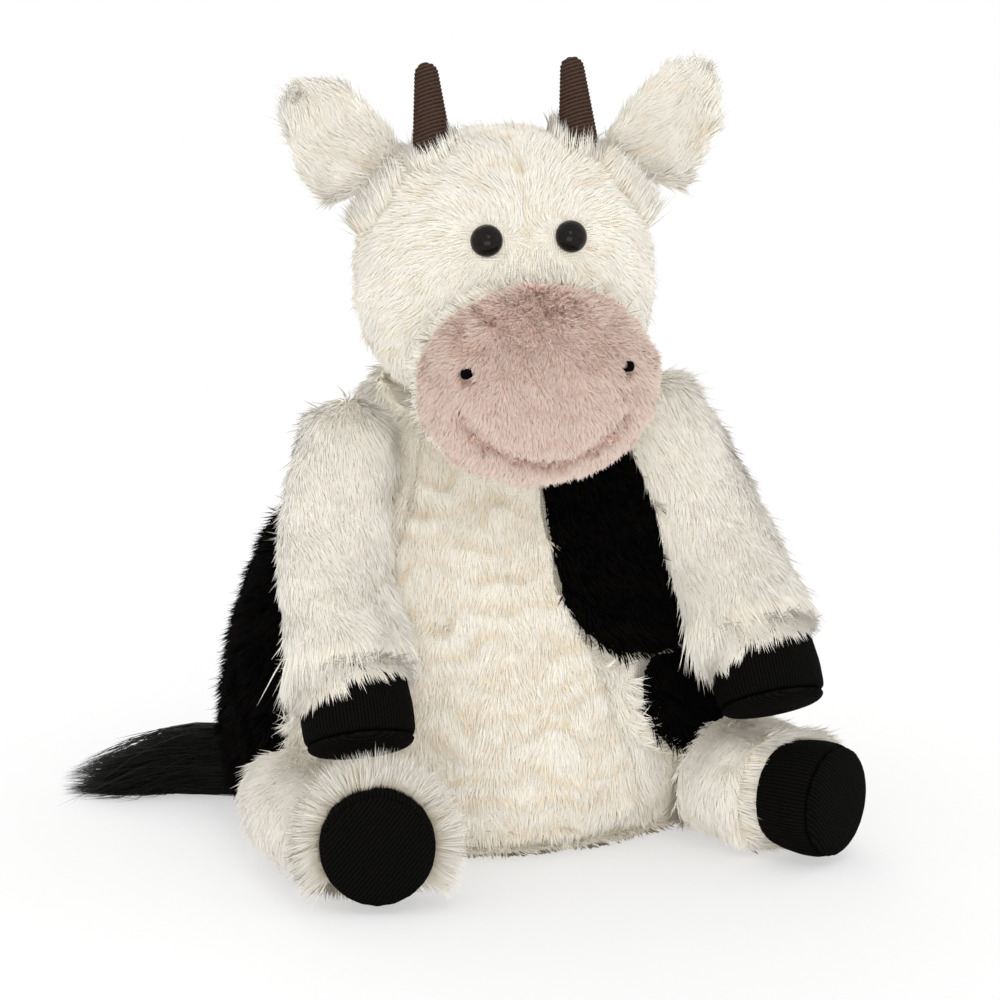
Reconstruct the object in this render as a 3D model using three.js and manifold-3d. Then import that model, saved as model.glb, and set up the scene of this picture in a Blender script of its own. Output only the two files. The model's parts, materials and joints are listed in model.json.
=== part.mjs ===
// A seated plush cow, built as it is sewn: stuffed body, head, limbs, ears, horns and tail, each a
// piece of its own. Millimetres. The toy sits on z = 0 and faces -Y, its own left side is +X, and the
// origin is the middle of its base.
import * as THREE from "three";
import { mergeVertices } from "three/addons/utils/BufferGeometryUtils.js";
import Module from "manifold-3d";

const wasm = await Module();
wasm.setup();

// Seams and floor
const seamGap = 0.3; // between two sewn pieces
const swingGap = 0.5; // between pieces that swing past each other
const floorFlat = 0.5; // how far the floor presses a stuffed form flat

// Body, a pear pressed flat below
const bodyWidth = 182;
const bodyDepth = 150;
const bodyHeight = 176;
const bodyProfileShares = [
  [0.87, 0],
  [0.97, 0.075],
  [1, 0.175],
  [0.965, 0.33],
  [0.895, 0.46],
  [0.795, 0.58],
  [0.655, 0.72],
  [0.5, 0.85],
  [0.3, 0.95],
];
const panelThickness = 3; // plush panel with its pile pressed down
const baseThickness = 3;
const baseInset = 4; // from the widest foot of the body to the base panel's edge
const pouchWidth = 96;
const pouchHeight = 24;
const pouchRoom = 2; // round the pouch and above it
const pouchShares = [
  [0.72, 0],
  [1, 0.5],
  [0.76, 1],
];

// Panels' outlines, seen from an azimuth, as shares of the body's half width and of its height
const chestPatchAzimuth = 30;
const chestPatchShares = [
  [-0.19, 0.85],
  [-0.22, 0.77],
  [-0.275, 0.625],
  [-0.3, 0.52],
  [-0.25, 0.44],
  [-0.16, 0.395],
  [0.07, 0.38],
  [0.3, 0.39],
  [0.52, 0.42],
  [0.47, 0.57],
  [0.36, 0.74],
  [0.13, 0.86],
];
const flankPatchAzimuth = 60;
const flankPatchShares = [
  [-0.33, 0.39],
  [-0.43, 0.35],
  [-0.455, 0.26],
  [-0.385, 0.2],
  [-0.15, 0.165],
  [0.22, 0.155],
  [0.51, 0.18],
  [0.68, 0.26],
  [0.62, 0.36],
  [0.2, 0.42],
];
const rumpPanelAzimuth = -120;
const rumpPanelShares = [
  [0.66, 0.08],
  [0.7, 0.26],
  [0.61, 0.46],
  [0.42, 0.56],
  [0, 0.6],
  [-0.44, 0.55],
  [-0.72, 0.45],
  [-0.81, 0.26],
  [-0.7, 0.07],
  [0, 0.05],
];
const bellyPanelAzimuth = -8;
const bellyPanelShares = [
  [0.1, 0.9],
  [0.13, 0.64],
  [0.17, 0.51],
  [0.25, 0.41],
  [0.37, 0.255],
  [0.44, 0.09],
  [0, 0.06],
  [-0.42, 0.09],
  [-0.53, 0.28],
  [-0.5, 0.51],
  [-0.37, 0.71],
  [-0.26, 0.86],
];

// Head, round about its own upright axis, and turned a little to the toy's right
const headWidth = 107;
const headHeight = 100;
const headForward = 19;
const headRise = 20; // of the head's middle above the body's top
const headTurn = -9;
const headProfileShares = [
  [0.32, -0.985],
  [0.66, -0.84],
  [0.88, -0.6],
  [0.985, -0.3],
  [1, -0.06],
  [0.955, 0.26],
  [0.84, 0.54],
  [0.62, 0.79],
  [0.33, 0.955],
];

// Muzzle, a white side wall and a pink front sewn to its rim
const muzzleWidth = 84;
const muzzleHeight = 70;
const muzzleDrop = 26.5; // below the middle of the head
const muzzleRootReach = 34;
const muzzleSeamReach = 57; // from the head's axis to the seam
const muzzleDome = 28;
const muzzleSideShares = [
  [0.86, 0],
  [0.94, 0.25],
  [0.99, 0.7],
  [1, 1],
];

// Mouth and nostrils, worked in thread
const mouthHalfWidth = 30.5;
const mouthEndDrop = 5.5;
const mouthBow = 19;
const mouthGrooveRadius = 1.7;
const mouthThreadRadius = 0.8;
const nostrilSpread = 28;
const nostrilRise = 9;
const nostrilRadius = 1.8;
const nostrilDepth = 2.4;
const nostrilProud = 0.6;

// Safety eyes
const eyeAzimuth = 17; // degrees from the middle of the face
const eyeElevation = 23;
const eyeRadius = 5.5;
const eyeDome = 4.6;
const eyeSink = 1.5;
const eyeStemRadius = 1.7;
const eyeStemLength = 11;
const eyeStemFit = 0.3;
const washerRadius = 7;
const washerThickness = 1.8;
const clothThickness = 4;

// Horns
const hornAzimuth = 86;
const hornElevation = 60;
const hornLength = 27;
const hornRootRadius = 6.5;
const hornTipRadius = 4.1;
const hornLean = 25; // degrees back
const hornSplay = 0; // degrees out
const hornTuck = 5;

// Ears
const earAzimuth = 95;
const earElevation = 35;
const earReach = 37; // from the root's axis to the tip
const earWidth = 33;
const earThickness = 12;
const earCup = 4;
const earRise = 57; // degrees above level
const earRootRadius = 6;
const earWidthShares = [0.94, 1, 0.99, 0.95, 0.88, 0.77, 0.6];
const earEndShares = [0.04, 0.3]; // of its length that each end takes to close
const earThinShares = [0.2, 0.25];

// Arms
const shoulderSpread = 48;
const shoulderForward = 20;
const shoulderHeight = 159;
const shoulderShift = -4; // both shoulders, as the toy leans to its right
const elbowShift = -2;
const elbowSpread = 66;
const elbowForward = 41;
const elbowHeight = 109;
const cuffSpread = 73;
const cuffForward = 72;
const cuffHeight = 69.5;
const armTopWidth = 36;
const armMiddleWidth = 45;
const armCuffWidth = 46;
const armTopThickness = 27;
const armMiddleThickness = 29;
const armCuffThickness = 40;
const armEndShares = [0.2, 0.05];
const armTwist = 25; // degrees that its flat side turns outwards
const armRaiseMost = 55;

// Hooves of the arms
const handWidth = 39;
const handThickness = 33;
const handLength = 19;
const handTilt = 30; // degrees from straight down
const handTurn = 5; // degrees outwards

// Legs
const hipSpread = 66;
const hipForward = 14;
const kneeSpread = 72;
const kneeShift = -4; // both knees, as the left leg lies closer to the belly
const kneeForward = 54;
const ankleSpread = 75;
const ankleShift = 3;
const ankleForward = 93;
const legHeight = 43;
const thighWidth = 58;
const ankleWidth = 50;
const ankleHeight = 43;
const legSplayMost = 20;
const legPivotSpread = 86;
const legPivotForward = 2;
const legEndShares = [0.28, 0.05];

// Hooves of the legs
const footWidth = 39.5;
const footHeight = 40;
const footLength = 15;
const footTurn = 28; // degrees outwards
const footTurnShift = 9; // degrees that the left foot turns out more, and the right one less
const footRaise = 2; // of the sole's rim above the floor, where the cuff's pile holds it up
const hoofTuck = 6; // of a hoof inside its cuff
const hoofEndDome = 4;
const hoofTuckShare = 0.86; // width of the tucked end
const hoofBandShares = [
  [0.95, 0],
  [1, 0.5],
  [0.985, 1],
];
const hoofEndShares = [
  [0.985, 0],
  [0.96, 0.37],
  [0.86, 0.75],
  [0.5, 0.95],
];

// Tail, a plush stub round the rump and a tuft of long hair
const tailHeight = 26;
const tailThickness = 15;
const tailProud = 3; // of the stub's middle line beyond the body's widest line
const tailRootAngle = 100; // degrees round the base from the toy's left
const tailSeamAngle = 147;
const tuftLength = 50;
const tuftBend = 14;
const tuftAngle = 155; // of the tuft, degrees from the toy's left
const tuftTipHeight = 3;
const tuftHeightShares = [1, 1.04, 0.95, 0.66, 0.3];
const tuftWidthShares = [0.9, 1.1, 1, 0.7, 0.3];
const stubEndShares = [0.12, 0.02];
const tailSwingMost = 50;

// Facets
const roundSides = 32;
const limbSides = 20;
const smallSides = 16;
const degrees = Math.PI / 180;
const mergeDistance = 1e-4;
const sweepStep = 7;

// Materials
const cream = 0xf3eee2;
const whitePlush = new THREE.MeshStandardMaterial({ color: cream, roughness: 0.95, metalness: 0 });
const blackPlush = new THREE.MeshStandardMaterial({ color: 0x141110, roughness: 0.95, metalness: 0 });
const pinkPlush = new THREE.MeshStandardMaterial({ color: 0xd6aba0, roughness: 0.9, metalness: 0 });
const brownCord = new THREE.MeshStandardMaterial({ color: 0x4b322a, roughness: 0.9, metalness: 0 });
const blackCord = new THREE.MeshStandardMaterial({ color: 0x100e0e, roughness: 0.9, metalness: 0 });
const tailHair = new THREE.MeshStandardMaterial({ color: 0x23231f, roughness: 0.7, metalness: 0 });
const glossBlack = new THREE.MeshStandardMaterial({ color: 0x050505, roughness: 0.08, metalness: 0 });
const washerPlastic = new THREE.MeshStandardMaterial({ color: 0xe8e6df, roughness: 0.5, metalness: 0 });
const blackThread = new THREE.MeshStandardMaterial({ color: 0x0c0a0a, roughness: 0.7, metalness: 0 });
const pinkThread = new THREE.MeshStandardMaterial({ color: 0xa9776c, roughness: 0.8, metalness: 0 });
const pouchCloth = new THREE.MeshStandardMaterial({ color: 0xe9e4d8, roughness: 0.9, metalness: 0 });

// A closed geometry as a solid that can be joined and cut.
function solidOf(geometry) {
  const bare = geometry.index ? geometry.toNonIndexed() : geometry.clone();
  bare.deleteAttribute("normal");
  bare.deleteAttribute("uv");
  const merged = mergeVertices(bare, mergeDistance);
  const corners = merged.index.array;
  const kept = [];
  for (let i = 0; i < corners.length; i += 3) {
    const [a, b, c] = corners.subarray(i, i + 3);
    if (a !== b && b !== c && c !== a) kept.push(a, b, c);
  }
  const triVerts = new Uint32Array(kept);
  return new wasm.Manifold(
    new wasm.Mesh({ numProp: 3, vertProperties: merged.attributes.position.array, triVerts }),
  );
}

// A finished solid as a named mesh in its group.
function addPiece(group, name, solid, material) {
  const { vertProperties, triVerts } = solid.getMesh();
  const geometry = new THREE.BufferGeometry()
    .setAttribute("position", new THREE.BufferAttribute(vertProperties, 3))
    .setIndex(new THREE.BufferAttribute(triVerts, 1));
  const mesh = new THREE.Mesh(geometry, material);
  mesh.name = name;
  group.add(mesh);
}

// A profile of (radius, height) turned about +Z. It starts and ends on the axis, or closes on itself.
function revolve(profile, sides) {
  const points = profile.map(([radius, height]) => new THREE.Vector2(radius, height));
  return new THREE.LatheGeometry(points, sides).rotateX(Math.PI / 2);
}

// A smooth line through a few points, as (radius, height) pairs.
function smooth(points, steps) {
  const line = new THREE.SplineCurve(points.map(([x, y]) => new THREE.Vector2(x, y)));
  return line.getPoints(steps).map((p) => [p.x, p.y]);
}

// A stuffed form: oval rings along a route, closed at both ends. ringAt(t) gives the ring's half sizes
// and its cup, and across is the direction of the first half size.
function stuffed(route, across, ringAt, steps, sides) {
  const positions = [];
  const rings = [];
  for (let i = 0; i <= steps; i++) {
    const t = i / steps;
    const centre = route.getPoint(t);
    const along = route.getTangent(t);
    const side = across.clone().addScaledVector(along, -across.dot(along)).normalize();
    const up = new THREE.Vector3().crossVectors(side, along).normalize();
    const { wide, high, cup = 0 } = ringAt(t);
    rings.push(
      Array.from({ length: sides }, (_, k) => {
        const turn = (2 * Math.PI * k) / sides;
        const [c, s] = [Math.cos(turn), Math.sin(turn)];
        return centre
          .clone()
          .addScaledVector(side, wide * c)
          .addScaledVector(up, high * s + cup * c * c);
      }),
    );
  }
  const face = (...points) => points.forEach((p) => positions.push(p.x, p.y, p.z));
  for (let i = 0; i < steps; i++)
    for (let k = 0; k < sides; k++) {
      const next = (k + 1) % sides;
      face(rings[i][k], rings[i + 1][k], rings[i + 1][next]);
      face(rings[i][k], rings[i + 1][next], rings[i][next]);
    }
  const [first, last] = [rings[0], rings[steps]];
  const [start, end] = [route.getPoint(0), route.getPoint(1)];
  for (let k = 0; k < sides; k++) {
    const next = (k + 1) % sides;
    face(start, first[k], first[next]);
    face(end, last[next], last[k]);
  }
  return new THREE.BufferGeometry().setAttribute(
    "position",
    new THREE.Float32BufferAttribute(positions, 3),
  );
}

// How full a form with round ends is at t, where each end takes its own share of the length.
function roundEnds(t, startShare, endShare) {
  const start = Math.max(0, 1 - t / startShare);
  const end = Math.max(0, 1 - (1 - t) / endShare);
  return Math.sqrt(Math.max(0, 1 - start * start)) * Math.sqrt(Math.max(0, 1 - end * end));
}

// A value that runs smoothly through a list of values as t goes from 0 to 1.
function through(values, t) {
  const place = t * (values.length - 1);
  const i = Math.min(Math.floor(place), values.length - 2);
  const f = place - i;
  return values[i] + (values[i + 1] - values[i]) * f * f * (3 - 2 * f);
}

// A turn about an upright or level hinge line, as a matrix.
function turnAbout(point, axis, angle) {
  return new THREE.Matrix4()
    .makeTranslation(point)
    .multiply(new THREE.Matrix4().makeRotationAxis(axis, angle))
    .multiply(new THREE.Matrix4().makeTranslation(point.clone().negate()));
}

// Cuts a swinging piece clear of a still one at rest and all along its swing.
function cutAlongSwing(solid, still, point, axis, most) {
  const steps = Math.ceil(most / sweepStep);
  let cut = solid;
  for (let i = 0; i <= steps; i++) {
    const angle = (-most * degrees * i) / steps;
    cut = cut.subtract(solidOf(still.clone().applyMatrix4(turnAbout(point, axis, angle))));
  }
  return largest(cut);
}

// The largest body of a cut solid, without the slivers that a cut leaves.
function largest(solid) {
  return solid.decompose().sort((a, b) => b.volume() - a.volume())[0];
}

// What is left of a solid above the floor.
function aboveFloor(solid) {
  const reach = bodyWidth * 2;
  const below = new THREE.BoxGeometry(reach, reach, reach).translate(0, 0, -reach / 2);
  return solid.subtract(solidOf(below));
}

const cow = new THREE.Group();

// The head's form, about its own middle, grown by a gap.
function headForm(grow) {
  const [wide, high] = [headWidth / 2 + grow, headHeight / 2 + grow];
  const line = smooth([[0, -1], ...headProfileShares, [0, 1]], headProfileShares.length * 2 + 2);
  const profile = line.map(([r, h]) => [Math.max(0, r) * wide, h * high]);
  return revolve(profile, roundSides);
}
const headPlace = new THREE.Vector3(0, -headForward, bodyHeight + headRise);
const placedHead = (grow) => headForm(grow).translate(...headPlace);

// A spot on the head's skin: azimuth from the face towards the toy's left, elevation seen from the
// head's middle.
function headSpot(azimuth, elevation) {
  const line = smooth([[0, -1], ...headProfileShares, [0, 1]], headProfileShares.length * 8).map(
    ([r, h]) => [(r * headWidth) / 2, (h * headHeight) / 2],
  );
  const i = line.findIndex(([r, h]) => Math.atan2(h, r) > elevation * degrees);
  const [[r0, h0], [r1, h1]] = [line[i - 1], line[i]];
  const ray = (radius, height) =>
    new THREE.Vector3(
      radius * Math.sin(azimuth * degrees),
      -radius * Math.cos(azimuth * degrees),
      height,
    );
  return { point: ray((r0 + r1) / 2, (h0 + h1) / 2), normal: ray(h1 - h0, r0 - r1).normalize() };
}

// The body's form, grown by a gap, or drawn in by a panel's thickness.
function bodyForm(grow) {
  const [wide, high] = [bodyWidth / 2 + grow, bodyHeight + grow];
  const floor = baseThickness + seamGap;
  const line = smooth([...bodyProfileShares, [0, 1]], bodyProfileShares.length * 2);
  const profile = line.map(([r, h]) => [Math.max(0, r) * wide, floor + h * (high - floor)]);
  const depthShare = (bodyDepth / 2 + grow) / wide;
  return revolve([[0, floor], ...profile], roundSides).scale(1, depthShare, 1);
}

// A panel's outline pushed straight through the body's near half, seen from an azimuth (0 is the front,
// 90 the toy's left).
function panelCutter(azimuth, shares, grow) {
  const points = shares.map(
    ([u, h]) => new THREE.Vector2((u * bodyWidth) / 2, h * bodyHeight),
  );
  const line = new THREE.CatmullRomCurve3(
    points.map((p) => new THREE.Vector3(p.x, p.y, 0)),
    true,
  ).getPoints(shares.length * 2);
  const middle = line.reduce((sum, p) => sum.add(p), new THREE.Vector3()).divideScalar(line.length);
  line.forEach((p) => p.add(p.clone().sub(middle).setLength(grow)));
  const shape = new THREE.Shape(line.slice(0, -1).map((p) => new THREE.Vector2(p.x, p.y)));
  return new THREE.ExtrudeGeometry(shape, { depth: bodyWidth, bevelEnabled: false })
    .rotateX(Math.PI / 2)
    .rotateZ(azimuth * degrees);
}

// Body: a stuffed core with the plush panels let into its skin, a cup for the head and a pocket for the
// pellets.
const pouchFloor = baseThickness + seamGap;
const pouchTop = pouchFloor + pouchHeight;
const underPanels = solidOf(bodyForm(-panelThickness - seamGap));
const skinCut = solidOf(bodyForm(panelThickness)).subtract(underPanels);
const skin = solidOf(bodyForm(0)).subtract(solidOf(bodyForm(-panelThickness)));
const headCup = solidOf(placedHead(swingGap));
const pouchPocket = solidOf(
  revolve(
    [
      [0, 0],
      [pouchWidth / 2 + pouchRoom, 0],
      [pouchWidth / 2 + pouchRoom, pouchTop + pouchRoom],
      [0, pouchTop + pouchRoom],
    ],
    roundSides,
  ),
);
let core = solidOf(bodyForm(0)).subtract(headCup).subtract(pouchPocket);
let skinLeft = skin.subtract(headCup);
for (const [name, azimuth, shares, material] of [
  ["chest_patch", chestPatchAzimuth, chestPatchShares, blackPlush],
  ["flank_patch_left", flankPatchAzimuth, flankPatchShares, blackPlush],
  ["rump_panel", rumpPanelAzimuth, rumpPanelShares, blackPlush],
  ["belly_panel", bellyPanelAzimuth, bellyPanelShares, whitePlush],
]) {
  addPiece(cow, name, largest(skinLeft.intersect(solidOf(panelCutter(azimuth, shares, 0)))), material);
  const opening = solidOf(panelCutter(azimuth, shares, seamGap));
  skinLeft = skinLeft.subtract(opening);
  core = core.subtract(skinCut.intersect(opening));
}
addPiece(cow, "body", largest(core), whitePlush);

// Base panel, the flat oval that the toy sits on, and the pouch of pellets above it.
function baseForm(grow) {
  const radius = (bodyWidth / 2) * bodyProfileShares[0][0] - baseInset + grow;
  const profile = [
    [0, 0],
    [radius - baseThickness / 2, 0],
    [radius, baseThickness / 2],
    [radius, baseThickness + grow],
    [0, baseThickness + grow],
  ];
  return revolve(profile, roundSides).scale(1, bodyDepth / bodyWidth, 1);
}
addPiece(cow, "base_panel", solidOf(baseForm(0)), whitePlush);
const pouchLine = [[0, 0], ...pouchShares, [0, 1]].map(([r, h]) => [
  (r * pouchWidth) / 2,
  pouchFloor + seamGap + h * pouchHeight,
]);
const pouchForm = revolve(
  smooth(pouchLine, 8).map(([radius, height]) => [
    Math.max(0, radius),
    Math.max(pouchFloor + seamGap, height),
  ]),
  limbSides,
);
addPiece(cow, "pellet_pouch", solidOf(pouchForm), pouchCloth);

// Head
const headGroup = new THREE.Group();
headGroup.position.copy(headPlace);
headGroup.rotation.z = headTurn * degrees;
cow.add(headGroup);
let headSolid = solidOf(headForm(0));

// Turns a form made about +Z so that it points along a direction, and moves it to its place.
function aim(geometry, direction, place) {
  const turn = new THREE.Quaternion().setFromUnitVectors(new THREE.Vector3(0, 0, 1), direction);
  return geometry.applyQuaternion(turn).translate(...place);
}

// Eyes: a glossy dome on a stem, locked behind the cloth by a washer.
const eyeProfile = [
  [0, -eyeStemLength],
  [eyeStemRadius, -eyeStemLength],
  [eyeStemRadius, 0],
  ...Array.from({ length: 6 }, (_, i) => {
    const rise = (i / 6) * 90 * degrees;
    return [eyeRadius * Math.cos(rise), eyeDome * Math.sin(rise)];
  }),
  [0, eyeDome],
];
const washerTop = -clothThickness - seamGap;
const washerBottom = washerTop - washerThickness;
const washerProfile = [
  [eyeStemRadius + eyeStemFit, washerBottom],
  [washerRadius, washerBottom],
  [washerRadius, washerTop],
  [eyeStemRadius + eyeStemFit, washerTop],
  [eyeStemRadius + eyeStemFit, washerBottom],
];
const eyeSocketProfile = [
  [0, -eyeStemLength - seamGap],
  [washerRadius + seamGap, -eyeStemLength - seamGap],
  [washerRadius + seamGap, -clothThickness],
  [eyeStemRadius + eyeStemFit, -clothThickness],
  [eyeStemRadius + eyeStemFit, -seamGap],
  [eyeRadius + seamGap, -seamGap],
  [eyeRadius + seamGap, eyeDome],
  [0, eyeDome],
];
for (const [side, hand] of [
  ["left", 1],
  ["right", -1],
]) {
  const { point, normal } = headSpot(hand * eyeAzimuth, eyeElevation);
  const seat = point.clone().addScaledVector(normal, -eyeSink);
  const seated = (profile) => solidOf(aim(revolve(profile, smallSides), normal, seat));
  addPiece(headGroup, "eye_" + side, seated(eyeProfile), glossBlack);
  addPiece(headGroup, "eye_washer_" + side, seated(washerProfile), washerPlastic);
  headSolid = headSolid.subtract(seated(eyeSocketProfile));
}

// Horns: stuffed needlecord, sewn into the head.
function hornProfile(grow) {
  const tip = hornLength - hornTipRadius;
  return [
    [0, -hornTuck - grow],
    [hornRootRadius + grow, -hornTuck - grow],
    [hornRootRadius + grow, 0],
    ...Array.from({ length: 5 }, (_, i) => {
      const rise = (i / 5) * 90 * degrees;
      const radius = hornTipRadius + grow;
      return [radius * Math.cos(rise), tip + radius * Math.sin(rise)];
    }),
    [0, hornLength + grow],
  ];
}
for (const [side, hand] of [
  ["left", 1],
  ["right", -1],
]) {
  const { point } = headSpot(hand * hornAzimuth, hornElevation);
  const direction = new THREE.Vector3(
    hand * Math.tan(hornSplay * degrees),
    Math.tan(hornLean * degrees),
    1,
  ).normalize();
  const horn = (grow) => solidOf(aim(revolve(hornProfile(grow), smallSides), direction, point));
  addPiece(headGroup, "horn_" + side, horn(0), brownCord);
  headSolid = headSolid.subtract(horn(seamGap));
}

// Ears: two leaves of plush sewn together and turned, cupped to the front, on a round root that flops.
for (const [side, hand] of [
  ["left", 1],
  ["right", -1],
]) {
  const { point, normal } = headSpot(hand * earAzimuth, earElevation);
  const root = point.clone().addScaledVector(normal, earRootRadius + swingGap);
  const rise = earRise * degrees;
  const outward = new THREE.Vector3(hand * Math.cos(rise), 0, Math.sin(rise));
  const across = new THREE.Vector3(-hand * Math.sin(rise), 0, Math.cos(rise));
  const length = earRootRadius + earReach;
  const route = new THREE.LineCurve3(
    root.clone().addScaledVector(outward, -earRootRadius),
    root.clone().addScaledVector(outward, earReach),
  );
  const ringAt = (t) => {
    const from = t * length;
    const bead = Math.sqrt(Math.max(0, earRootRadius ** 2 - (earRootRadius - from) ** 2));
    const leaf = (earThickness / 2) * roundEnds(t, ...earThinShares);
    return {
      wide: (earWidth / 2) * through(earWidthShares, t) * roundEnds(t, ...earEndShares),
      high: from < earRootRadius ? bead : leaf,
      cup: from < earRootRadius ? 0 : -hand * earCup * Math.sin(Math.PI * t),
    };
  };
  const ear = solidOf(stuffed(route, across, ringAt, 12, smallSides));
  addPiece(headGroup, "ear_" + side, ear, whitePlush);
}
addPiece(headGroup, "head", largest(headSolid), whitePlush);

// Muzzle: forms turned about the line that points out of the face.
function muzzleForm(profile) {
  return revolve(profile, roundSides)
    .scale(1, muzzleHeight / muzzleWidth, 1)
    .rotateX(Math.PI / 2)
    .translate(0, 0, -muzzleDrop);
}
const muzzleRadius = muzzleWidth / 2;
const muzzleSideLength = muzzleSeamReach - seamGap - muzzleRootReach;
const muzzleSideLine = muzzleSideShares.map(([r, h]) => [
  r * muzzleRadius,
  muzzleRootReach + h * muzzleSideLength,
]);
const muzzleSide = solidOf(
  muzzleForm([[0, muzzleRootReach], ...muzzleSideLine, [0, muzzleRootReach + muzzleSideLength]]),
).subtract(solidOf(headForm(seamGap)));
addPiece(headGroup, "muzzle_side", largest(muzzleSide), whitePlush);

// A point of the pink front, a depth below its skin, from its place across and up the muzzle.
function onMuzzle(across, up, depth) {
  const away = Math.hypot(across / muzzleRadius, up / (muzzleHeight / 2));
  const reach = muzzleSeamReach + muzzleDome * Math.sqrt(1 - away * away) - depth;
  return new THREE.Vector3(across, -reach, up - muzzleDrop);
}
const domeSteps = 8;
let muzzleFront = solidOf(
  muzzleForm([
    [0, muzzleSeamReach],
    ...Array.from({ length: domeSteps }, (_, i) => {
      const rise = (i / domeSteps) * 90 * degrees;
      return [muzzleRadius * Math.cos(rise), muzzleSeamReach + muzzleDome * Math.sin(rise)];
    }),
    [0, muzzleSeamReach + muzzleDome],
  ]),
);

// Mouth: a drawn-in line with its thread at the bottom.
function mouthTube(radius, depth, halfWidth) {
  const turns = 12;
  const points = Array.from({ length: turns + 1 }, (_, i) => {
    const across = ((2 * i) / turns - 1) * halfWidth;
    const bow = 1 - (across / mouthHalfWidth) ** 2;
    return onMuzzle(across, -mouthEndDrop - mouthBow * bow, depth);
  });
  const section = new THREE.Shape().absarc(0, 0, radius, 0, 2 * Math.PI);
  return solidOf(
    new THREE.ExtrudeGeometry(section, {
      steps: turns,
      curveSegments: 6,
      extrudePath: new THREE.CatmullRomCurve3(points),
    }),
  );
}
const threadDepth = mouthGrooveRadius - mouthThreadRadius - swingGap;
const threadHalfWidth = mouthHalfWidth - mouthGrooveRadius;
const mouthThread = mouthTube(mouthThreadRadius, threadDepth, threadHalfWidth);
addPiece(headGroup, "mouth_thread", mouthThread, pinkThread);
muzzleFront = muzzleFront.subtract(mouthTube(mouthGrooveRadius, 0, mouthHalfWidth));

// Nostrils: two dots of satin stitch.
const nostrilProfile = (grow, proud) => [
  [0, -nostrilDepth - grow],
  [nostrilRadius + grow, -nostrilDepth - grow],
  [nostrilRadius + grow, 0],
  [0, proud],
];
for (const [side, hand] of [
  ["left", 1],
  ["right", -1],
]) {
  const place = onMuzzle(hand * nostrilSpread, nostrilRise, 0);
  const normal = new THREE.Vector3(
    place.x / muzzleRadius ** 2,
    (place.y + muzzleSeamReach) / muzzleDome ** 2,
    nostrilRise / (muzzleHeight / 2) ** 2,
  ).normalize();
  const dot = (grow, proud) =>
    solidOf(aim(revolve(nostrilProfile(grow, proud), smallSides), normal, place));
  addPiece(headGroup, "nostril_" + side, dot(0, nostrilProud), blackThread);
  muzzleFront = muzzleFront.subtract(dot(seamGap, nostrilRadius));
}
addPiece(headGroup, "muzzle_front", largest(muzzleFront), pinkPlush);

// A hoof: a needlecord band that tucks into its cuff, and a domed end panel sewn to its rim.
function hoofBand(width, height, length, grow) {
  const radius = width / 2;
  const line = hoofBandShares.map(([r, h]) => [r * radius + grow, h * length]);
  const tucked = radius * hoofTuckShare + grow;
  const opening = grow > 0 ? [[radius + grow, length * 2]] : [];
  const profile = [[0, -hoofTuck - grow], [tucked, -hoofTuck - grow], ...line, ...opening];
  profile.push([0, profile.at(-1)[1]]);
  return revolve(profile, limbSides).scale(1, height / width, 1);
}
function hoofEnd(width, height, length) {
  const seam = length + seamGap;
  const line = hoofEndShares.map(([r, h]) => [(r * width) / 2, seam + h * hoofEndDome]);
  const profile = [[0, seam], ...line, [0, seam + hoofEndDome]];
  return revolve(profile, limbSides).scale(1, height / width, 1);
}

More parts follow.
